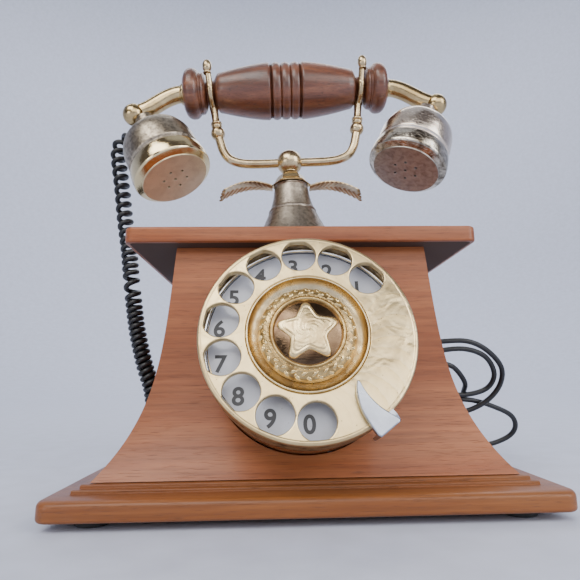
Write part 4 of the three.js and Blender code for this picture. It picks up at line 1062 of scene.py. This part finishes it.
def add_cradle():
    hub = turned([*filleted([(0, 51.5), (3.6, 51.5, 0.3), (3.6, 52.2, 0.3), (4.8, 52.5, 0.3), (4.8, 53.1)]),
                  *ball_profile(7.9, FORK_HUB, 28, -52, 90)], 72)
    piece("hub_ball", hub, STAND, "fork_brass", "cradle", ("cradle_hub",))
    for side, sign in SIDES:
        route = [(5, 0, 59.3), (14, 0, 59.2), (24, 0, 59.4), (31.6, 0, 60.6), (37.4, 0, 63.6), (40.6, 0, 68.4),
                 (42.3, 0, 74), (FORK_BALL[0], 0, FORK_BALL[1])]
        path = [Vector((sign * x, y, z)) for x, y, z in smooth_through(route, 9)]
        bar = tube(path, FORK_WIRE, 28)
        knuckle = turned(ball_profile(4.4, 0, 20), 48)
        lean = Matrix.Rotation(sign * math.radians(7), 4, "Y")
        ball_at = Matrix.Translation((sign * FORK_BALL[0], 0, FORK_BALL[1])) @ lean
        stem = turned(filleted([(0, 3.4), (2.9, 3.4), (3.3, 4.3, 0.3), (3.3, 4.9, 0.3), (2.5, 5.4, 0.3),
                                (3.5, 6.2, 0.3), (3.5, 7.0, 0.3), (2.5, 7.7, 0.4), (2.3, 10.5), (2.4, 15),
                                (2.8, 18.6), (0, 19.6)]), 40)
        reach = 7.5 + 0.45 + 1.85
        crotch = []
        for step in range(25):
            angle = math.pi * (1 + step / 24)
            inward = 0.9 * (1 - abs(math.cos(angle)))
            crotch.append((NECK_X - inward, reach * math.cos(angle), HANDLE_Z + reach * math.sin(angle)))
        ends = [(KNOB[0], -KNOB[1], KNOB[2]), (KNOB[0], KNOB[1], KNOB[2])]
        prongs = [Vector((sign * x, y, z)) for x, y, z in [ends[0], *crotch, ends[1]]]
        yoke = tube(smooth_through(prongs, 3), 1.85, 20)
        knobs = []
        for front in (-1, 1):
            knob = turned([*filleted([(0, -5.2), (2.4, -5.1, 0.3), (2.5, -4.3, 0.3), (1.7, -4.0)]),
                           *[(2.85 * r, 4.25 * z) for r, z in ball_profile(1, 0, 18, -62, 90)]], 36)
            knobs.append(moved(knob, Matrix.Translation((sign * KNOB[0], front * KNOB[1], KNOB[2] + 0.4))))
        parts = merged(bar, moved(knuckle, ball_at), moved(stem, ball_at.copy()), yoke, *knobs)
        piece(f"{side}_fork", parts, STAND, "fork_brass", "cradle", (f"{side}_fork_arm",), sharp=50)


# ---------------------------------------------------------------- handset
def grip_profile():
    half = [*filleted([(17.0, 9.0, 0.3), (15.6, 9.3, 0.3), (16.6, 9.8, 0.4)]),
            *[tuple(p) for p in smooth_through([(17.2, 10.8), (16.9, 15), (16.1, 21), (15.1, 27), (13.9, 33),
                                                (12.6, 38.6)], 7)],
            *filleted([(11.8, 42.2, 0.5), (10.4, 43.4, 0.6), (8.0, 44.6, 0.8), (7.5, 45.6, 0.6), (7.5, 49.6, 0.5),
                       (10.4, 50.4, 0.5), (12.1, 51.6, 0.6), (12.7, 52.6, 0.4), (12.1, 53.0, 0.2), (12.9, 53.5, 0.3),
                       (12.5, 54.2, 0.2), (13.5, 54.8, 0.3), (15.1, 56.6, 1.0), (15.4, 58.6, 1.2), (15.1, 60.8, 1.2),
                       (13.6, 62.8, 1.0), (10.6, 64.1, 0.6), (9.6, GRIP_END)], 4)]
    beads = []
    for step in range(-24, 25):
        position = step * 0.3675
        swell = abs(math.cos(step / 16 * math.pi))
        beads.append((15.4 + 1.8 * math.sqrt(swell), position))
    return [(3, -GRIP_END), *[(r, -x) for r, x in reversed(half)], *beads, *half, (3, GRIP_END)]


def cup_frame(sign):
    lean = Matrix.Rotation(sign * math.radians(CUP_LEAN), 4, "Y")
    return HANDSET @ Matrix.Translation((sign * CUP_FACE_X * MM, 0, CUP_FACE_Z * MM)) @ lean


def add_handset():
    lay = Matrix.Rotation(math.pi / 2, 4, "Y")
    piece("turned_grip", moved(turned(grip_profile(), 112), lay), HANDSET, "mahogany", "handset",
          ("grip",), sharp=50)
    for side, sign in SIDES:
        route = [(64.0, 0, 0), (67.4, 0, 0), (71, 0, -1), (76, 0, -3.6), (81.2, 0, -7.4), (86.2, 0, -11.2),
                 (90.4, 0, -13.6)]
        path = [Vector((sign * x, y, z)) for x, y, z in smooth_through(route, 8)]
        ferrule = turned(filleted([(3, 64.3), (7.0, 64.3, 0.4), (7.0, 65.1, 0.4), (6.3, 65.6, 0.3),
                                   (6.1, 66.2, 0.3), (5.2, 66.6), (3, 66.6)]), 48)
        ferrule = moved(ferrule, Matrix.Rotation(sign * math.pi / 2, 4, "Y"))
        piece(f"{side}_curved_tube", merged(tube(path, 5.3, 32), ferrule), HANDSET, "bright_brass", "handset",
              (f"{side}_tube",), sharp=50)
        elbow = HANDSET @ Matrix.Translation((sign * ELBOW_X * MM, 0, ELBOW_Z * MM)) @ Matrix.Rotation(
            sign * math.radians(CUP_LEAN), 4, "Y")
        piece(f"{side}_elbow", turned(ball_profile(ELBOW_RADIUS, 0, 30), 64), elbow, "bright_brass", "handset",
              (f"{side}_elbow_ball",))
        add_cup(side, sign)


def add_cup(side, sign):
    place = cup_frame(sign)
    metal_name = "cup_gold" if sign < 0 else "cup_silver"
    dome = smooth_through([(21.9, 19.5), (21.7, 23.6), (21.1, 27.6), (19.5, 31.8), (16.6, 35.1), (12.4, 37.4),
                           (7.9, 38.4)], 8)
    shell = turned([*filleted([(19.4, 12.8), (21.2, 12.8, 0.2), (21.7, 13.3, 0.3), (20.8, 14.2, 0.4),
                               (21.8, 15.2, 0.4), (21.9, 17)]),
                    *[tuple(point) for point in dome],
                    *filleted([(6.9, 38.6, 0.3), (6.7, 39.6, 0.4), (6.2, 40.4, 0.4), (6.1, 49), (0, 49.4)])], 96)
    piece(f"{side}_cup_shell", shell, place, metal_name, "handset", (f"{side}_cup",), sharp=45)
    band = turned(filleted([(17.6, 0.6), (19.2, 0.6, 0.3), (22.9, 2.5, 0.5), (23.3, 3.6, 0.5), (23.3, 7.6, 1.5),
                            (22.6, 11.9, 0.5), (21.9, 12.4, 0.2), (19.6, 12.4)]), 96)
    piece(f"{side}_cap_band", band, place, "cup_band" if sign < 0 else "cup_band_dark", "handset",
          (f"{side}_cap",), sharp=45)
    holes = [(0, 0)] + [(7 * math.cos(i * math.pi / 3 + 0.3), 7 * math.sin(i * math.pi / 3 + 0.3)) for i in range(6)]
    face = cut_plate([circle(19.5), *[circle(0.78, hole, 20) for hole in holes]], -0.02, 1.5, 0.18)
    piece(f"{side}_cap_face", face, place, "cup_face" if sign < 0 else "cup_face_dull", "handset")
    # painted shade: a near-black disc just behind the face, so its holes look dark like the shaded inside of the cup
    hole_shade_disc = turned([(0, 1.9), (18.8, 1.9), (18.8, 2.6), (0, 2.6)], 64)
    piece(f"{side}_cap_hole_shade", hole_shade_disc, place, "hole_shade", "handset")


# ---------------------------------------------------------------- what stays as it comes from the frame
NODE_LOOKS = {"governor": "steel", "hook_rod": "steel", "hook_spring": "steel", "hook_bracket": "steel",
              "ringer_frame": "steel", "ringer_core": "steel", "clapper": "steel", "plate_screw_1": "steel",
              "plate_screw_2": "steel", "bottom_plate": "steel", "transmitter_capsule": "steel",
              "receiver_capsule": "steel", "dial_shaft_gear": "bright_brass", "left_gong": "bright_brass",
              "right_gong": "bright_brass", "switch_lever": "bright_brass", "network_block": "phenolic",
              "hook_switch": "phenolic", "ringer_coil": "copper", "handset_cord_gland": "rubber",
              "line_cord_gland": "rubber", "handset_gland": "rubber"}


def finish_nodes():
    for name, look in NODE_LOOKS.items():
        node = frame["nodes"][name]
        node.data.materials.clear()
        node.data.materials.append(MATERIALS[look])
        edge = node.modifiers.new("bevel", "BEVEL")
        edge.width = 0.2 * MM
        edge.segments = 2
        edge.limit_method = "ANGLE"
        edge.angle_limit = math.radians(35)


# ---------------------------------------------------------------- floor and light
def round_sheet(name, profile, start, end, steps, material):
    """A sheet swept round Z from (radius, z) points, between two angles in degrees."""
    angles = [math.radians(start + (end - start) * step / steps) for step in range(steps + 1)]
    vertices = [(radius * math.cos(angle), radius * math.sin(angle), z) for radius, z in profile for angle in angles]
    row = steps + 1
    faces = [(level * row + step, level * row + step + 1, (level + 1) * row + step + 1, (level + 1) * row + step)
             for level in range(len(profile) - 1) for step in range(steps)]
    mesh = mesh_of(vertices, faces)
    for face in mesh.polygons:
        face.use_smooth = True
    mesh.materials.append(MATERIALS[material])
    sheet = bpy.data.objects.new(name, mesh)
    bpy.context.scene.collection.objects.link(sheet)
    return sheet


def add_stage():
    """A pale floor that curves up all round, and a dim room in front that only reflections see."""
    flat, bend_radius, wall_top, room_radius = 1.2, 1.5, 3.4, 2.3
    bend = [math.pi / 2 * step / 16 for step in range(17)]
    bowl = [(0.0, 0.0), (flat / 2, 0.0),
            *[(flat + bend_radius * math.sin(a), bend_radius - bend_radius * math.cos(a)) for a in bend],
            (flat + bend_radius, wall_top)]
    round_sheet("floor", bowl, 0, 360, 96, "floor")
    levels = [math.radians(level) for level in range(2, 76, 6)]
    shell = [(room_radius * math.cos(level), room_radius * math.sin(level)) for level in levels]
    room = round_sheet("room", shell, 185, 355, 40, "room")
    for flag in ("visible_camera", "visible_shadow", "visible_diffuse"):
        setattr(room, flag, False)


def area_light(name, position, target, size, power, colour=(1, 1, 1)):
    data = bpy.data.lights.new(name, "AREA")
    data.shape = "RECTANGLE"
    data.size, data.size_y = size
    data.energy = power
    data.color = colour
    light = bpy.data.objects.new(name, data)
    bpy.context.scene.collection.objects.link(light)
    direction = Vector(target) - Vector(position)
    light.matrix_world = Matrix.Translation(position) @ direction.to_track_quat("-Z", "Y").to_matrix().to_4x4()


def add_light():
    middle = (0, 0, 0.13)
    area_light("window", (-0.75, -1.15, 1.45), middle, (1.3, 0.9), 24, (1.0, 0.98, 0.95))
    area_light("front_panel", (0.3, -1.12, 0.72), (0, 0, 0.12), (1.5, 0.72), 10, (1.0, 0.98, 0.96))
    area_light("fill", (1.35, -0.95, 0.75), middle, (0.7, 1.1), 15, (0.97, 0.98, 1.0))
    area_light("low_panel", (-0.9, -1.0, 0.25), middle, (0.5, 0.3), 2.5, (1.0, 0.96, 0.9))
    area_light("rear", (0.4, 1.3, 1.6), middle, (1.6, 0.8), 10, (0.95, 0.97, 1.0))
    area_light("backdrop", (0, 0.9, 2.1), (0, 2.7, 0.7), (2.6, 0.6), 40, (0.97, 0.98, 1.0))
    world = bpy.data.worlds.new("studio")
    world.use_nodes = True
    background = world.node_tree.nodes["Background"]
    background.inputs["Color"].default_value = (0.86, 0.9, 1.0, 1)
    background.inputs["Strength"].default_value = 0.6
    bpy.context.scene.world = world


add_camera()
add_cords()
add_case()
add_dial_back()
add_dial_front()
add_stand()
add_cradle()
add_handset()
finish_nodes()
add_stage()
add_light()
